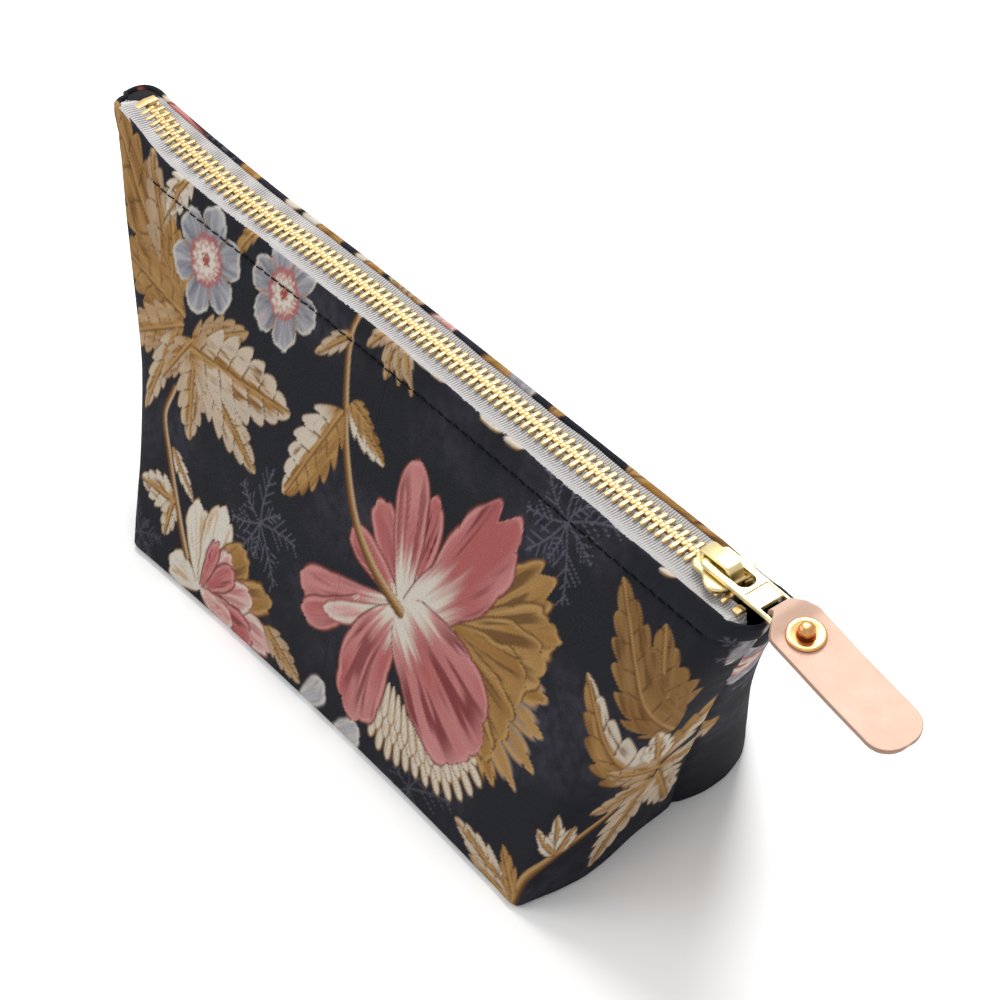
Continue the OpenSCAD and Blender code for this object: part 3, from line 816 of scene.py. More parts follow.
def set_print(obj, u, v, back=False):
    """Stores the print's colours and the cloth coordinates on a closed sheet's outer and inner points."""
    colour = paint(BACK_SHIFT - u if back else u, v, back)
    colour = colour * (INK + INK_GAIN * colour.max(1, keepdims=True))
    colour = np.concatenate([colour, colour * 0.5 + 0.12])
    rgba = np.ones((len(colour), 4), np.float32)
    rgba[:, :3] = np.clip(colour, 0, 1)
    layer = obj.data.color_attributes.new("print", "FLOAT_COLOR", "POINT")
    layer.data.foreach_set("color", rgba.ravel())
    flat = np.stack([u.ravel(), v.ravel(), np.zeros(u.size)], 1)
    cloth = obj.data.attributes.new("cloth", "FLOAT_VECTOR", "POINT")
    cloth.data.foreach_set("vector", np.concatenate([flat, flat]).astype(np.float32).ravel())


# ---------------------------------------------------------------- materials
class Nodes:
    """A material's nodes, made and joined in one line each."""

    def __init__(self, name, **shader):
        self.material = bpy.data.materials.new(name)
        self.material.use_nodes = True
        self.tree = self.material.node_tree
        self.tree.nodes.clear()
        self.out = self.tree.nodes.new("ShaderNodeOutputMaterial")
        self.shader = self.add("BsdfPrincipled", **shader)
        self.tree.links.new(self.shader.outputs[0], self.out.inputs[0])

    def add(self, kind, settings=None, **inputs):
        node = self.tree.nodes.new("ShaderNode" + kind)
        for key, value in (settings or {}).items():
            setattr(node, key, value)
        for key, value in inputs.items():
            self.put(node, key.replace("_", " "), value)
        return node

    def put(self, node, key, value):
        socket = node.inputs[int(key)] if key.isdigit() else node.inputs[key]
        if isinstance(value, bpy.types.NodeSocket):
            self.tree.links.new(value, socket)
        elif isinstance(value, bpy.types.Node):
            self.tree.links.new(value.outputs[0], socket)
        elif hasattr(value, "__len__"):
            value = list(value)
            socket.default_value = value if len(socket.default_value) == len(value) else value + [1.0]
        else:
            socket.default_value = value

    def math(self, operation, a, b=None):
        node = self.add("Math", {"operation": operation})
        self.put(node, "0", a)
        if b is not None:
            self.put(node, "1", b)
        return node.outputs[0]

    def blend(self, share, a, b, kind="MIX"):
        node = self.add("Mix", {"data_type": "RGBA", "blend_type": kind})
        self.put(node, "0", share)
        self.put(node, "6", a)
        self.put(node, "7", b)
        return node.outputs[2]

    def ramp(self, value, stops):
        node = self.add("ValToRGB", Fac=value)
        ramp = node.color_ramp
        while len(ramp.elements) < len(stops):
            ramp.elements.new(0.5)
        for element, (place, colour) in zip(ramp.elements, stops):
            element.position = place
            element.color = (*colour, 1)
        return node.outputs[0]

    def span(self, value, low, high):
        node = self.add("MapRange", Value=value)
        node.inputs["To Min"].default_value = low
        node.inputs["To Max"].default_value = high
        return node.outputs[0]

    def noise(self, scale, detail=3.0, rough=0.55, vector=None):
        node = self.add("TexNoise", Scale=scale, Detail=detail, Roughness=rough)
        if vector is not None:
            self.put(node, "Vector", vector)
        return node.outputs["Fac"]

    def place(self):
        return self.add("TexCoord").outputs["Object"]

    def place_mm(self):
        return self.add("Mapping", Vector=self.place(), Scale=(1000, 1000, 1000)).outputs[0]

    def bump(self, height, strength, distance, before=None):
        node = self.add("Bump", Height=height, Strength=strength, Distance=distance)
        if before is not None:
            self.put(node, "Normal", before)
        return node.outputs[0]

    def finish(self, colour=None, rough=None, normal=None):
        for key, value in (("Base Color", colour), ("Roughness", rough), ("Normal", normal)):
            if value is not None:
                self.put(self.shader, key, value)
        return self.material


def weave_height(n, vector, period):
    """Plain weave: warp and weft take turns to lie on top."""
    parts = n.add("SeparateXYZ", Vector=vector)
    turn = 2 * math.pi / period
    a = n.math("SINE", n.math("MULTIPLY", parts.outputs[0], turn))
    b = n.math("SINE", n.math("MULTIPLY", parts.outputs[1], turn))
    over = n.math("MULTIPLY", a, b)
    ridge = n.math("ADD", n.math("ABSOLUTE", a), n.math("ABSOLUTE", b))
    return n.math("ADD", n.math("MULTIPLY", over, 0.5), n.math("MULTIPLY", ridge, 0.3))


def printed_cotton():
    """Ink over a plain weave, with slubs and fuzz."""
    n = Nodes("printed_cotton", Specular_IOR_Level=0.12)
    cloth = n.add("Attribute", {"attribute_name": "cloth"}).outputs["Vector"]
    ink = n.add("Attribute", {"attribute_name": "print"}).outputs["Color"]
    weave = weave_height(n, cloth, 0.62)
    slub = n.noise(1.6, 3, 0.6, cloth)
    thread = n.noise(4.5, 2, 0.7, cloth)
    # Painted shade: the ink is darker where the weave and the threads' noise lie low, in the cloth's hollows.
    ink = n.blend(0.55, ink, n.span(n.math("ADD", weave, thread), 0.62, 1.30), "MULTIPLY")
    ink = n.blend(n.span(slub, 0.0, 0.035), ink, rgb(150, 146, 150))
    rough = n.span(slub, 0.70, 0.92)
    coarse = n.bump(n.noise(0.35, 3, 0.5, cloth), 0.25, 0.0006)
    fine = n.math("ADD", weave, n.math("MULTIPLY", thread, 0.8))
    return n.finish(ink, rough, n.bump(fine, 0.55, 0.00012, coarse))


def plain_cloth(name, colour, period, fuzz, sheen):
    """Undyed or plain dyed cloth for the layers inside."""
    n = Nodes(name, Sheen_Weight=sheen, Specular_IOR_Level=0.2)
    place = n.place_mm()
    weave = weave_height(n, place, period)
    slub = n.noise(0.8, 4, 0.6, place)
    shade = n.blend(n.span(slub, 0, 1), np.array(colour) * 0.78, np.minimum(1, np.array(colour) * 1.15))
    fibres = n.noise(fuzz, 3, 0.7, place)
    return n.finish(shade, n.span(slub, 0.8, 0.98), n.bump(n.math("ADD", weave, fibres), 0.5, 0.0002))


def woven_tape():
    """Ribbed tape whose outer part is knitted finer."""
    n = Nodes("woven_tape", Sheen_Weight=0.10, Specular_IOR_Level=0.3)
    place = n.place_mm()
    parts = n.add("SeparateXYZ", Vector=place)
    rib = n.math("SINE", n.math("MULTIPLY", parts.outputs[0], 2 * math.pi / TAPE_RIB))
    strand = n.noise(3.2, 3, 0.7, place)
    outer = n.add("MapRange", Value=n.math("ABSOLUTE", parts.outputs[1]))
    outer.inputs["From Min"].default_value = 4.6
    outer.inputs["From Max"].default_value = 5.6
    ribbed = n.math("MULTIPLY", rib, n.span(outer.outputs[0], 0.5, 0.12))
    height = n.math("ADD", ribbed, strand)
    # Painted shade and highlight: the grey follows the ribs' height, dark in their hollows and pale on their
    # crests, with random strand tone.
    greys = [(0.0, rgb(112, 110, 110)), (0.5, rgb(168, 167, 168)), (1.0, rgb(204, 203, 203))]
    tone = n.ramp(n.span(height, 0.0, 0.9), greys)
    soil = n.blend(n.span(n.noise(0.25, 2, 0.5, place), 0, 0.25), tone, rgb(176, 170, 166))
    return n.finish(soil, 0.85, n.bump(height, 0.6, 0.00022))


def brass(name, colour, low, high, scratch=0.35, shadow=0.55):
    """Metal with fine brushing and faint tarnish, darker and duller in random patches."""
    n = Nodes(name, Metallic=1.0)
    place = n.place_mm()
    brushed = n.noise(1.0, 4, 0.65, n.add("Mapping", Vector=place, Scale=(0.4, 6, 6)).outputs[0])
    tarnish = n.noise(0.5, 4, 0.6, place)
    tone = n.blend(n.span(tarnish, 0.0, 0.55), colour, np.array(colour) * shadow)
    rough = n.span(n.math("MULTIPLY", n.math("ADD", brushed, tarnish), 0.5), low, high)
    return n.finish(tone, rough, n.bump(brushed, scratch, 0.00006))


def veg_leather():
    """Undyed leather with pores, darker at its cut edges, with painted shade round the loop and on the leg
    below.
    """
    n = Nodes("veg_leather", Specular_IOR_Level=0.35, Sheen_Weight=0.05)
    place = n.place_mm()
    fold = n.add("Attribute", {"attribute_name": "wear"}).outputs["Fac"]
    mottled = n.noise(0.22, 4, 0.55, place)
    pores = n.add("TexVoronoi", {"feature": "F1"}, Scale=3.2, Vector=place).outputs["Distance"]
    fine = n.noise(3.0, 4, 0.65, place)
    tans = [(0.25, rgb(212, 176, 156)), (0.5, rgb(218, 184, 164)), (0.8, rgb(224, 192, 174))]
    tone = n.ramp(mottled, tans)
    tone = n.blend(n.span(fine, 0.0, 0.16), tone, rgb(200, 162, 138))
    # Darker cut edges, and painted shade round the loop and on the lower leg, from the strap's stored values.
    tone = n.blend(n.math("MULTIPLY", fold, 0.9), tone, rgb(128, 96, 78))
    height = n.math("ADD", n.math("MULTIPLY", pores, 0.5), fine)
    return n.finish(tone, n.span(fine, 0.48, 0.72), n.bump(height, 0.35, 0.00015))


def copper():
    """Hammered copper: darker metal on the rivet's dome, and painted shade at the dome's foot and on the
    burr's rim.
    """
    n = Nodes("copper", Metallic=1.0)
    place = n.place_mm()
    dark_copper_and_shade = n.add("Attribute", {"attribute_name": "wear"}).outputs["Fac"]
    blotch = n.noise(0.7, 4, 0.6, place)
    tone = n.blend(n.span(blotch, 0, 0.4), rgb(250, 200, 132), rgb(236, 172, 108))
    # Painted shade, and the dome's darker metal, from the stored values.
    tone = n.blend(n.math("MULTIPLY", dark_copper_and_shade, 0.8), tone, rgb(150, 74, 48))
    dents = n.noise(0.9, 2, 0.5, place)
    return n.finish(tone, n.span(blotch, 0.24, 0.40), n.bump(dents, 0.15, 0.0003))


def thread_material():
    """Black twisted thread."""
    n = Nodes("thread", Specular_IOR_Level=0.1)
    place = n.place_mm()
    twist = n.add("TexWave", Scale=1.6, Distortion=0.6, Vector=place).outputs["Fac"]
    # Painted shade: the black is a little darker in the twist's grooves, following the same wave as the bump.
    tone = n.blend(twist, rgb(7, 7, 9), rgb(17, 17, 20))
    return n.finish(tone, 0.6, n.bump(twist, 0.6, 0.0001))


COTTON = printed_cotton()
LINING = plain_cloth("lining_cotton", rgb(52, 54, 66), 0.5, 3, 0.1)
FLEECE = plain_cloth("fleece", rgb(236, 236, 230), 0.8, 1.2, 0.4)
TAPE = woven_tape()
TOOTH_BRASS = brass("tooth_brass", rgb(240, 208, 150), 0.30, 0.46, 0.25, 0.7)
PALE_BRASS = brass("slider_brass", rgb(238, 220, 166), 0.26, 0.44, 0.35, 0.78)
SPRING_BRASS = brass("spring_brass", rgb(206, 178, 120), 0.3, 0.5)
LEATHER = veg_leather()
COPPER = copper()
THREAD = thread_material()


def dress(obj, material, nodes, body=None):
    """Gives a piece its material and slot, hides the frame's nodes it stands for, and joins it to a body if
    it has one.
    """
    obj.data.materials.clear()
    obj.data.materials.append(material)
    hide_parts(*nodes)
    if body:
        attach(obj, body)
    else:
        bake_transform(obj)
    return obj


# ---------------------------------------------------------------- cloth pieces
def build_walls():
    """Printed cotton, fleece and lining of each half of the front and back, and the topstitches."""
    for face in HINGES:
        for side, word in ((1, "right"), (-1, "left")):
            step = 0.5 if face == "front" else 0.75
            grid, u, v, outward = wall(face, side, step)
            row = int(round((SLANT - STITCH_BELOW) / SLANT * (len(grid) - 1)))
            stitches(face, side, word, grid[row], u[row])
            grid, u, v = with_edges(grid, u, v, outward, face)
            outer = closed_sheet(f"printed_{face}_{word}", grid, COTTON_T, outward)
            set_print(outer, u, v, face == "back")
            dress(outer, COTTON,
                  (f"outer_{face}", f"outer_gusset_{word}_{face}", f"hem_{word}"))
            for layer, depth, thick, material in [
                    ("fleece", 0.6, 0.5, FLEECE), ("lining", 1.25, 0.35, LINING)]:
                inner, _, _, outward = wall(face, side, 2.0, depth, 0.95 if layer == "fleece" else 0.98)
                piece = closed_sheet(f"{layer}_{face}_{word}", inner, thick, outward)
                nodes = (f"{layer}_{face}", f"{layer}_gusset_{word}")
                dress(piece, material, nodes)


def stitches(face, side, word, row, row_u):
    """Short threads along a row of the cloth, which dip into it at both ends."""
    parts = []
    ring = np.radians(np.arange(0, 360, 60))
    order = np.argsort(row_u)
    out = np.array([0, HINGES[face][1] * 0.92, 0.39])
    up = np.cross(out, [1, 0, 0])
    for k in range(37):
        middle = side * (k * STITCH_PITCH + STITCH_PITCH / 4)
        if not STITCH_START <= middle <= STITCH_END:
            continue
        rings = []
        for share in np.linspace(-1, 1, 9):
            at = middle + share * STITCH_HALF
            centre = np.array([np.interp(at, row_u[order], row[order, j]) for j in range(3)])
            centre = centre + out * (0.26 - 0.42 * share ** 4)
            r = 0.17 * (1 - 0.45 * share ** 4)
            rings.append([centre + r * (math.cos(a) * out + math.sin(a) * up) for a in ring])
        parts.append(loft(rings))
    obj = joined(f"topstitch_{face}_{word}", parts)
    dress(obj, THREAD, (f"topstitch_{face}",))


def build_base():
    """Bottom panel of each layer, with a soft crown, inside the curve of the walls."""
    shares = np.linspace(0, 1, 40)
    xy, at, _, _ = section(0)
    around = np.linspace(0, at[-1] + at[1], 241)[:-1]
    rim = np.stack([np.interp(around, at, xy[:, k]) for k in range(2)], 1)
    rim[:, 1] -= 1.6 * np.sign(rim[:, 1]) * np.clip(1 - (rim[:, 0] / 80) ** 2, 0, 1)
    rim = np.vstack([rim, rim[:1]])
    for layer, low, thick, inset, material, slot in [
            ("printed", 0.06, 0.4, 3.2, COTTON, "printed_cotton"),
            ("fleece", 0.6, 0.5, 2.6, FLEECE, "fleece"),
            ("lining", 1.2, 0.4, 1.9, LINING, "lining")]:
        scale = 1 - inset / 45
        grid = np.array([np.column_stack([rim * scale * s, np.full(len(rim), low + thick)]) for s in shares])
        crown = 0.5 * cloud(grid[..., 0] / 25, grid[..., 1] / 25, 81, 2) * smooth(1, 0.7, shares)[:, None]
        grid[..., 2] += np.abs(crown)
        rows, cols = grid.shape[:2]
        quads = sheet_faces(rows, cols, -1)[0]
        points = np.concatenate([grid.reshape(-1, 3), (grid - [0, 0, thick]).reshape(-1, 3)])
        obj = quad_object(f"{layer}_base", points, quads)
        if layer == "printed":
            set_print(obj, grid[..., 0], -grid[..., 1] - 40)
        weld(obj)
        soft_edges(obj, 50)
        node = "outer_base" if layer == "printed" else f"{layer}_base"
        dress(obj, material, (node,), body="base")


# ---------------------------------------------------------------- zip
def spread(x):
    """How far the teeth and tape are parted past the slider's nose."""
    return 2.2 * smooth(NOSE + 3, TAIL - 1, x)


def build_tapes():
    """Woven tape of each side: a corded inner edge, fine ribs, and a soft folded end."""
    for face, (_, sign) in HINGES.items():
        for side, word in ((1, "right"), (-1, "left")):
            end = TAPE_RIGHT if side > 0 else TAPE_LEFT
            x = np.linspace(0, end, int(end / 0.15)) * side
            across = np.concatenate([[0, 0.25, 0.6], np.linspace(1.0, TAPE_W, 26)])
            grid_x, grid_s = np.meshgrid(x, across)
            to_end = end - np.abs(grid_x)
            cord = 0.42 * np.sqrt(np.clip(1 - ((grid_s - 0.65) / 0.65) ** 2, 0, 1))
            rib = 0.075 * np.sin(grid_x * 2 * np.pi / TAPE_RIB) * smooth(6.5, 4.5, grid_s)
            rib += 0.05 * noise(grid_x / 0.35, grid_s / 0.4, 93) * smooth(4.2, 6, grid_s)
            dip = -0.25 * np.exp(-((grid_s - 3.6) / 1.6) ** 2)
            curl = smooth(3.5, 0, to_end) * (1 if side > 0 else 0.6)
            wander = 0.12 * noise(grid_x / 9, grid_s / 3, 91)
            z = TAPE_Z + cord + rib + dip + wander + rim_lift(grid_x) - 0.9 * curl ** 2
            if side > 0:
                z += 0.35 * np.exp(-((to_end - 2.2) / 0.9) ** 2)
            else:
                z -= 2.2 * smooth(111, 117, np.abs(grid_x))
            corner = 1.8 * smooth(2.6, 0, to_end) ** 2
            inner = TAPE_GAP + spread(grid_x) * (1 - grid_s / TAPE_W) + corner * (1 - grid_s / 3.6)
            outer = (7.4 - rim_pull(grid_x, face) if face == "front" else 6.3) - 0.25 * corner
            y = sign * np.minimum(inner + grid_s * (outer - TAPE_GAP) / TAPE_W, outer)
            drift = zip_drift(grid_x) * (smooth(TAPE_W, 3, grid_s) - 1)
            grid = zip_end(np.stack([grid_x, y + drift, z], 2))
            tape = closed_sheet(f"zip_tape_{face}_{word}", grid, TAPE_T, sign * side)
            dress(tape, TAPE, (f"zip_tape_{face}",))


def bar_rings(sections):
    """Rounded bar along Y: each section is (y, half width, low z, high z)."""
    corner = np.radians([0, 30, 60, 90])
    rings = []
    for y, half, low, high in sections:
        r = 0.42 * min(half, (high - low) / 2)
        quarters = ((half - r, high - r, 0), (r - half, high - r, 90),
                    (r - half, low + r, 180), (half - r, low + r, 270))
        ring = []
        for cx, cz, start in quarters:
            for a in corner + math.radians(start):
                ring.append((cx + r * math.cos(a), y, cz + r * math.sin(a)))
        rings.append(ring)
    return loft(rings)


def tooth_parts():
    """One zip tooth: an interlocking head and two legs that grip the tape."""
    w = TOOTH_W / 2
    head = bar_rings([(-0.80, 0.46, -1.1, 1.1), (-0.68, 0.55, -1.25, 1.32), (-0.35, w, -1.3, 1.40),
                      (0.1, w, -1.3, 1.40), (0.5, w, -1.25, 1.32), (0.8, w * 0.95, -1.1, 1.1)])
    widths = [(0.55, 0.88), (0.9, 0.9), (1.6, 0.94), (2.3, 0.96), (2.7, 0.86), (2.88, 0.66),
              (TOOTH_REACH, 0.42)]
    points, quads = bar_rings([(y, w * k, 0.30, 1.18 - 0.03 * y - 0.2 * (y > 2.8)) for y, k in widths])
    return [head, (points, quads), (points * [1, 1, -1], quads)]


def build_teeth():
    """Both rows of teeth, each in a left and a right half."""
    template = tooth_parts()
    for face, (_, sign) in HINGES.items():
        halves = {"left": [], "right": []}
        for k in range(TEETH):
            x = FIRST_TOOTH + (k + (0.5 if face == "back" else 0)) * PITCH
            tilt = 0.03 * math.sin(k * 12.9 + sign)
            for points, quads in template:
                placed = points * [1, sign, 1]
                placed = placed + [0, sign * float(spread(x)), TOOTH_Z + float(rim_lift(x))]
                placed[:, 0] += x + tilt * placed[:, 1] * 0.6
                placed += zip_end(np.array([x, 0.0, 0.0])) - [x, 0, 0]
                halves["right" if x > 0 else "left"].append((placed, quads))
        for word, parts in halves.items():
            obj = joined(f"teeth_{face}_{word}", parts)
            soft_edges(obj, 50)
            dress(obj, TOOTH_BRASS, (f"teeth_{face}",))


def build_stops():
    """Stamped stops clamped over the tape: one at the joined end, one on each tape at the closed end."""
    points, quads = bar_rings([(-1.1, 0.8, 0.3, 0.95), (-0.9, 1.0, 0.3, 1.2), (0.6, 1.05, 0.3, 1.25),
                               (1.0, 0.95, 0.3, 1.1), (1.15, 0.7, 0.3, 0.8)])
    for face in HINGES:
        middle = sum(mm_box(f"top_stop_{face}")) / 2
        obj = joined(f"top_stop_{face}_piece", [(points * [1, 1, up] + middle, quads) for up in (1, -1)])
        soft_edges(obj, 50)
        dress(obj, TOOTH_BRASS, (f"top_stop_{face}",))
    middle = (STOP_LOW + STOP_HIGH) / 2
    lift = zip_end(np.array([middle[0], 0.0, float(rim_lift(middle[0]))])) - [middle[0], 0, 0]
    points, quads = bar_rings([(-2.95, 0.85, 0.35, 0.9), (-2.75, 1.1, 0.35, 1.2), (-1.0, 1.2, 0.35, 1.3),
                               (0, 1.2, 0.35, 1.45), (1.0, 1.2, 0.35, 1.3), (2.75, 1.1, 0.35, 1.2),
                               (2.95, 0.85, 0.35, 0.9)])
    parts = [(points * [1, 1, up] + middle + lift, quads) for up in (1, -1)]
    points, quads = bar_rings([(-0.6, 1.1, -0.5, 0.5), (0.6, 1.1, -0.5, 0.5)])
    parts.append((points + middle + lift, quads))
    obj = joined("bottom_stop_piece", parts)
    soft_edges(obj, 50)
    dress(obj, TOOTH_BRASS, ("bottom_stop",), body="base")


# ---------------------------------------------------------------- slider, pull and strap
def upright(obj, y):
    """Stands a plate made in plan up in the XZ plane, centred on y."""
    obj.data.transform(Matrix.Translation((0, y * MM, 0)) @ Matrix.Rotation(math.pi / 2, 4, "X"))
    return obj


def mirrored_outline(points):
    """Outline made of the points and their mirror images across X."""
    return [*points, *[(x, -y) for x, y in reversed(points)]]


def build_slider():
    """Two plates and side flanges round the chain, the wedge between them, and the arched cap."""
    n, t = NOSE, TAIL
    top_plan = mirrored_outline([(n, 2.6), (n + 0.8, 3.4), (n + 1.8, 3.7), (n + 3.6, 3.7), (n + 4.8, 4.0),
                                 (n + 6.0, 4.9), (n + 7.0, 5.4), (n + 8.4, 5.6), (n + 9.8, 5.3),
                                 (t - 0.6, 4.4), (t, 3.2)])
    top = plate("slider_top_plate", [top_plan], PLATE_TOP - 1.0, PLATE_TOP, 0.42, 3)
    low = plate("slider_low_plate", [top_plan], PLATE_LOW, PLATE_LOW + 1.0, 0.3, 2)
    parts = [top, low]
    for up in (1, -1):
        for side in (1, -1):
            strip = [(n + 0.6, 3.4), (n + 3.6, 3.65), (n + 4.8, 3.9), (n + 7.0, 5.3), (n + 9.2, 5.4),
                     (n + 9.2, 4.9), (n + 7.2, 4.8), (n + 3.2, 3.0), (n + 0.6, 2.9)]
            strip = [(x, side * y) for x, y in strip][::side]
            z = (TOOTH_Z + 0.75, PLATE_TOP - 0.6) if up > 0 else (PLATE_LOW + 0.6, TOOTH_Z - 0.75)
            parts.append(plate(f"flange_{up}_{side}", [strip], *z, 0.15, 1))
    wedge = mirrored_outline([(t - 2.9, 0.1), (t - 1.1, 0.9), (t - 0.1, 0.5)])
    parts.append(plate("wedge", [wedge], PLATE_LOW + 0.5, PLATE_TOP - 0.5, 0.08, 1))
    body = merged("slider_body_piece", parts)
    dress(body, PALE_BRASS, ("slider_body",), body="slider")
    foot, high = PLATE_TOP - 0.3, CAP_TOP
    arch = [(n + 1.0, foot), (n + 2.6, foot), (n + 2.6, high - 1.5), (n + 3.1, high - 1.05),
            (n + 9.2, high - 1.0), (n + 9.6, high - 1.4), (n + 9.6, foot), (n + 11.0, foot),
            (n + 11.0, high - 1.4),
            (n + 10.75, high - 0.6), (n + 10.1, high - 0.1), (n + 9.2, high), (n + 2.4, high - 0.15),
            (n + 1.5, high - 0.55), (n + 1.05, high - 1.4)]
    cap = plate("slider_cap_piece", [arch], -1.8, 1.8, 0.38, 4)
    upright(cap, 0)
    dress(cap, PALE_BRASS, ("slider_cap",), body="slider")
    spring = frame["nodes"]["lock_spring"]
    spring.data.materials.clear()
    spring.data.materials.append(SPRING_BRASS)


def tilted(obj, origin, droop):
    """Puts a piece made along +X into the frame of the pull or the strap."""
    obj.data.transform(Matrix.Translation(Vector(origin * MM)) @ Matrix.Rotation(droop, 4, "Y"))
    return obj


def build_pull():
    """Flat pull: a frame with a round-ended window, a raised border round a sunk panel, and its pivot bar."""
    end, half = 22.5, 3.4
    outline = round_box(-0.75, end, -half, half, 1.0)
    window = [(0.95, -2.0), *arc_points(9.5, -0.1, 1.95, -80, 0, 5),
              *arc_points(9.5, 0.1, 1.95, 0, 80, 5), (0.95, 2.0)]
    slot = round_box(17.2, 21.2, -2.8, 2.8, 0.4, 4)
    panel = round_box(12.5, 21.4, -2.8, 2.8, 0.25, 4)
    core = plate("pull_core", [outline, window, slot], -0.62, 0.36, 0.16, 2)
    frame_top = plate("pull_border", [outline, window, panel], 0.10, 0.66, 0.15, 3)
    ring = np.radians(np.arange(0, 360, 20))
    rings = [[(r * math.cos(a), y, r * math.sin(a)) for a in ring]
             for y, r in ((-3.3, 0.504), (-3.1, 0.72), (3.1, 0.72), (3.3, 0.504))]
    bar = joined("pull_bar", [loft(rings)])
    obj = merged("pull_tab_piece", [core, frame_top, bar])
    tilted(obj, PIVOT, PULL_DROOP)
    dress(obj, PALE_BRASS, ("pull_tab",), body="pull")


STRAP_LEN = 36.8
STRAP_HALF = 6.25
NECK_HALF = 2.6
UNDER_LEN = 8.6              # the short leg below
STRAP_SHIFT = -0.45          # the strap sits a little to the front of the pull's middle
LEATHER_T = 1.35
LOOP_R = 1.35
RIVET_X = 6.4
CORNER_R = 5.0


def strap_half_width(x, under):
    """Half width of the leather at a distance from the loop: a neck, flared shoulders, round tip corners."""
    half = NECK_HALF + (STRAP_HALF - NECK_HALF) * np.clip((x + 0.6) / 3.4, 0, 1) ** 0.7
    length, corner = (UNDER_LEN, 2.4) if under else (STRAP_LEN, CORNER_R)
    into = np.clip(x - (length - corner), 0, corner)
    return half - (corner - math.sqrt(max(corner ** 2 - into ** 2, 0))) - 1.0 * under


def strap_path():
    """Middle line of the leather in side view: upper leg, loop round the bar, short lower leg."""
    middle = LOOP_R + LEATHER_T / 2
    gap = 0.06 + LEATHER_T / 2
    path = []
    tip_turn = STRAP_LEN - CORNER_R * (1 - np.sin(np.radians(np.linspace(90, 0, 12))))
    for x in [*tip_turn, *np.linspace(STRAP_LEN - CORNER_R - 1, 2.2, 34)]:
        rise = (middle - gap) * smooth(4.2, 0.3, x)
        path.append((x, gap + rise * 0.9 + 0.5 * smooth(14, 36, x), False))
    for angle in np.radians(np.linspace(70, 290, 15)):
        path.append((middle * math.cos(angle), middle * math.sin(angle), angle > math.pi))
    for x in np.linspace(2.2, UNDER_LEN, 10):
        path.append((x, -gap - (middle - gap) * 0.9 * smooth(4.2, 0.3, x), True))
    return path


def build_strap():
    """Folded strip of thick leather with crisp, slightly rounded cut edges."""
    path = strap_path()
    line = np.array([(x, z) for x, z, _ in path])
    tangent = np.gradient(line, axis=0)
    tangent /= np.linalg.norm(tangent, axis=1, keepdims=True)
    normal = np.stack([tangent[:, 1], -tangent[:, 0]], 1)
    bevel, half_t = 0.22, LEATHER_T / 2
    across = np.linspace(-1, 1, 25)
    edge = [(0.05, half_t - 0.10), (0.0, half_t - 0.3), (0.0, 0.0), (0.0, 0.3 - half_t),
            (0.05, 0.10 - half_t)]
    profile = [(share, bevel, half_t) for share in across] + [(1, cut, h) for cut, h in edge]
    profile += [(-share, bevel, -half_t) for share in across] + [(-1, cut, h) for cut, h in reversed(edge)]
    rings, wear = [], []
    for (x, z, under), n in zip(path, normal):
        half = float(strap_half_width(x, under)) if x > -1 else NECK_HALF
        ring = []
        for share, cut, h in profile:
            y = share * (half - cut)
            dent = 0.16 * math.exp(-((math.hypot(x - RIVET_X, y) - 4.1) / 0.9) ** 2) * (h > 0)
            rough = 0.03 * math.sin(y * 9 + x * 7) * (abs(share) == 1)
            shift = STRAP_SHIFT * float(smooth(-1, 4, x))
            ring.append((x + n[0] * (h - dent), y + rough + shift, z + n[1] * (h - dent)))
            # Per-point darkening: the cut edges are darker leather, and the bend round the bar and the lower
            # leg, under the upper one, carry painted shade.
            cut_edge = (abs(share) == 1) * (abs(h) < half_t - 0.05) * 0.9
            bent = 0.35 * float(smooth(8, -1, x)) * (not under)
            wear.append(min(1.0, cut_edge + bent + 0.5 * under))
        rings.append(ring)
    points, quads = loft(rings)
    obj = quad_object("leather_strap_piece", points, quads)
    k = len(profile)
    # The strip's cut ends count as darker leather.
    store(obj, "wear", np.concatenate([np.full(k, 0.75), wear, np.full(k, 0.75)]))
    weld(obj)
    soft_edges(obj, 60)
    tilted(obj, LOOP, STRAP_DROOP)
    dress(obj, LEATHER, ("leather_strap",), body="strap")


def lathe(profile, steps, wobble=lambda angle, z: 0):
    """Turned piece about Z from (radius, height) points."""
    rings = []
    for r, z in profile:
        ring = []
        for a in np.linspace(0, 2 * math.pi, steps, endpoint=False):
            grown = r * (1 + wobble(a, z))
            ring.append((grown * math.cos(a), grown * math.sin(a), z))
        rings.append(ring)
    return loft(rings)


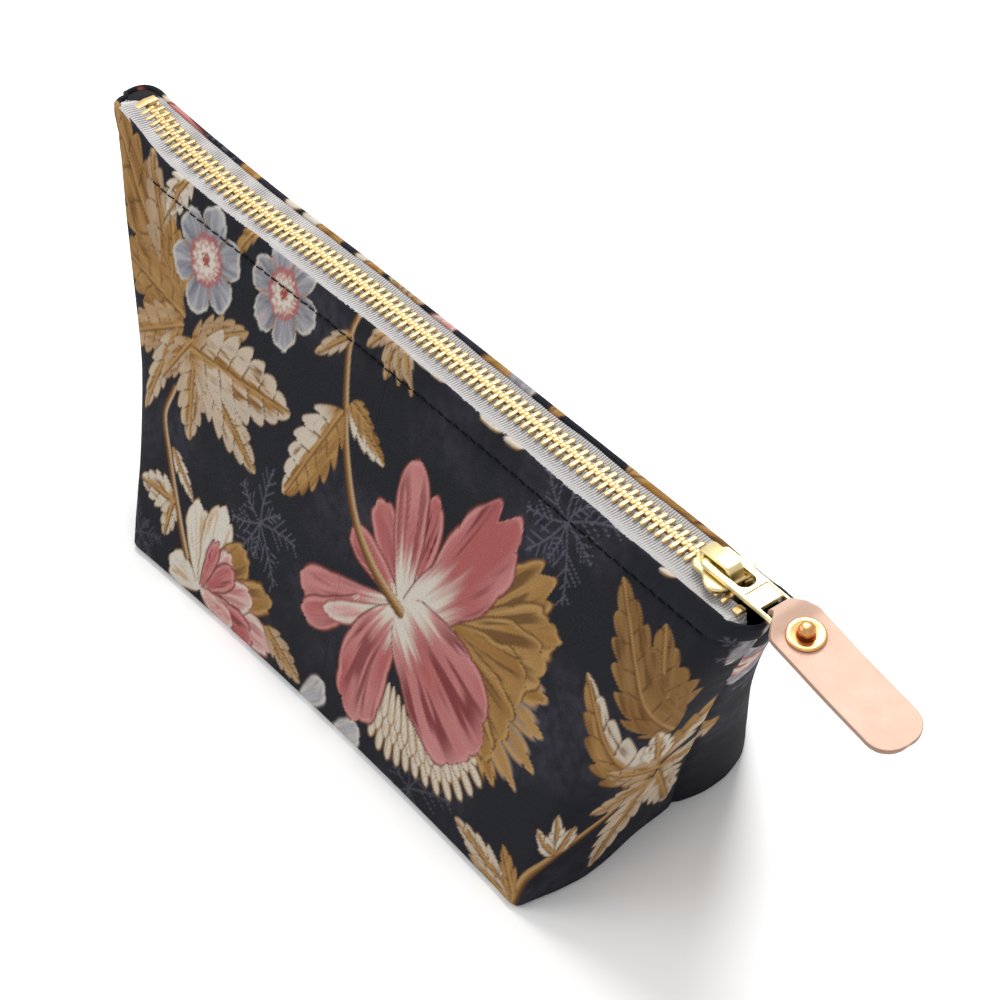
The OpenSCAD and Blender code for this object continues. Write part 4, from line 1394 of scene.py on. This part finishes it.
def build_rivet():
    """Copper rivet: head below, shank, and a peened dome standing on the dished burr."""
    top = 0.06 + LEATHER_T
    head = [(0.3, -top - 0.8), (2.6, -top - 0.78), (3.3, -top - 0.55), (3.6, -top - 0.2), (3.55, -top + 0.02)]
    dome = [(1.25, -top + 0.02), (1.2, top + 0.6), (1.45, top + 0.8), (1.62, top + 1.2), (1.72, top + 1.8),
            (1.68, top + 2.4), (1.45, top + 2.85), (1.05, top + 3.12), (0.55, top + 3.24), (0.1, top + 3.27)]
    dish = [(1.5, top + 0.1), (3.7, top - 0.05), (3.98, top + 0.1), (4.05, top + 0.4), (3.9, top + 0.72),
            (3.6, top + 0.84), (3.0, top + 0.74), (2.3, top + 0.6), (1.6, top + 0.52), (1.4, top + 0.3)]

    def hammered(angle, z):
        return (0.035 * math.sin(3 * angle + z) + 0.02 * math.sin(7 * angle)) * (z > top)

    rivet = joined("rivet_piece", [lathe(head + dome, 56, hammered)])
    soft_edges(rivet, 50)
    co = np.array([p.co for p in rivet.data.vertices]) / MM
    # The dome is darker copper, with painted shade growing towards its foot; the head below is left bright.
    store(rivet, "wear", (0.55 + 0.45 * smooth(top + 3.0, top + 0.9, co[:, 2])) * (co[:, 2] > 0))
    burr = joined("rivet_burr_piece", [lathe(dish, 64)])
    soft_edges(burr, 50)
    co = np.array([p.co for p in burr.data.vertices]) / MM
    radius = np.hypot(co[:, 0], co[:, 1])
    # Painted shade on the burr's outer rim and in the ring round the dome's foot.
    store(burr, "wear", np.maximum(smooth(3.85, 4.02, radius), smooth(2.5, 1.9, radius) * 0.8))
    for obj, node in ((rivet, "rivet"), (burr, "rivet_burr")):
        obj.data.transform(Matrix.Translation((RIVET_X * MM, STRAP_SHIFT * MM, -0.2 * MM)))
        tilted(obj, LOOP, STRAP_DROOP)
        dress(obj, COPPER, (node,), body="strap")


# ---------------------------------------------------------------- studio
def build_camera():
    """Camera from the right and above, with a slight roll."""
    azimuth, elevation, roll = math.radians(60.32), math.radians(40.49), math.radians(-8.83)
    target = Vector((30.0, -4.35, 60.63)) * MM
    distance = 0.8
    lens = 136.03
    level = math.cos(elevation)
    back = Vector((math.sin(azimuth) * level, -math.cos(azimuth) * level, math.sin(elevation)))
    right = (-back).cross(Vector((0, 0, 1))).normalized()
    up = back.cross(right)
    across = right * math.cos(roll) + up * math.sin(roll)
    upward = up * math.cos(roll) - right * math.sin(roll)
    camera = new_object("camera", bpy.data.cameras.new("camera"))
    turn = Matrix((across, upward, back)).transposed().to_4x4()
    camera.matrix_world = Matrix.Translation(target + back * distance) @ turn
    camera.data.sensor_width = 36
    camera.data.lens = lens
    camera.data.clip_start = 0.01
    camera.data.clip_end = 20
    bpy.context.scene.camera = camera


def area_light(name, place, size, power, colour=(1, 1, 1)):
    """Round soft light aimed at the pouch; place and size are metres."""
    light = bpy.data.lights.new(name, "AREA")
    light.shape = "DISK"
    light.size = size
    light.energy = power
    light.color = colour
    obj = new_object(name, light)
    obj.location = place
    aim = Vector((0, 0, 0.04)) - Vector(place)
    obj.rotation_euler = aim.to_track_quat("-Z", "Y").to_euler()


def build_studio():
    """White floor, bright even sky and three soft lights."""
    bpy.context.scene.view_settings.view_transform = "Standard"
    world = bpy.data.worlds.new("studio")
    bpy.context.scene.world = world
    world.use_nodes = True
    sky = world.node_tree.nodes["Background"]
    sky.inputs["Color"].default_value = (1, 1, 1, 1)
    sky.inputs["Strength"].default_value = 0.74
    area_light("key", (-0.36, 0.5, 1.1), 0.6, 14, (1, 0.985, 0.965))
    area_light("front", (-0.9, -0.9, 1.0), 1.2, 6)
    area_light("fill", (1.0, -0.5, 0.8), 0.8, 1.0, (0.97, 0.985, 1))
    n = Nodes("white_floor")
    tone = n.blend(n.noise(0.8, 2, 0.5, n.place()), rgb(246, 246, 246), rgb(250, 250, 250))
    n.finish(tone, 0.9)
    reach, low = 3000, -0.05
    corners = [(-reach, -reach, low), (reach, -reach, low), (reach, reach, low), (-reach, reach, low)]
    floor = quad_object("floor", corners, [[0, 1, 2, 3]])
    floor.data.materials.append(n.material)


for build in (build_walls, build_base, build_tapes, build_teeth, build_stops, build_slider, build_pull,
              build_strap, build_rivet, build_camera, build_studio):
    build()
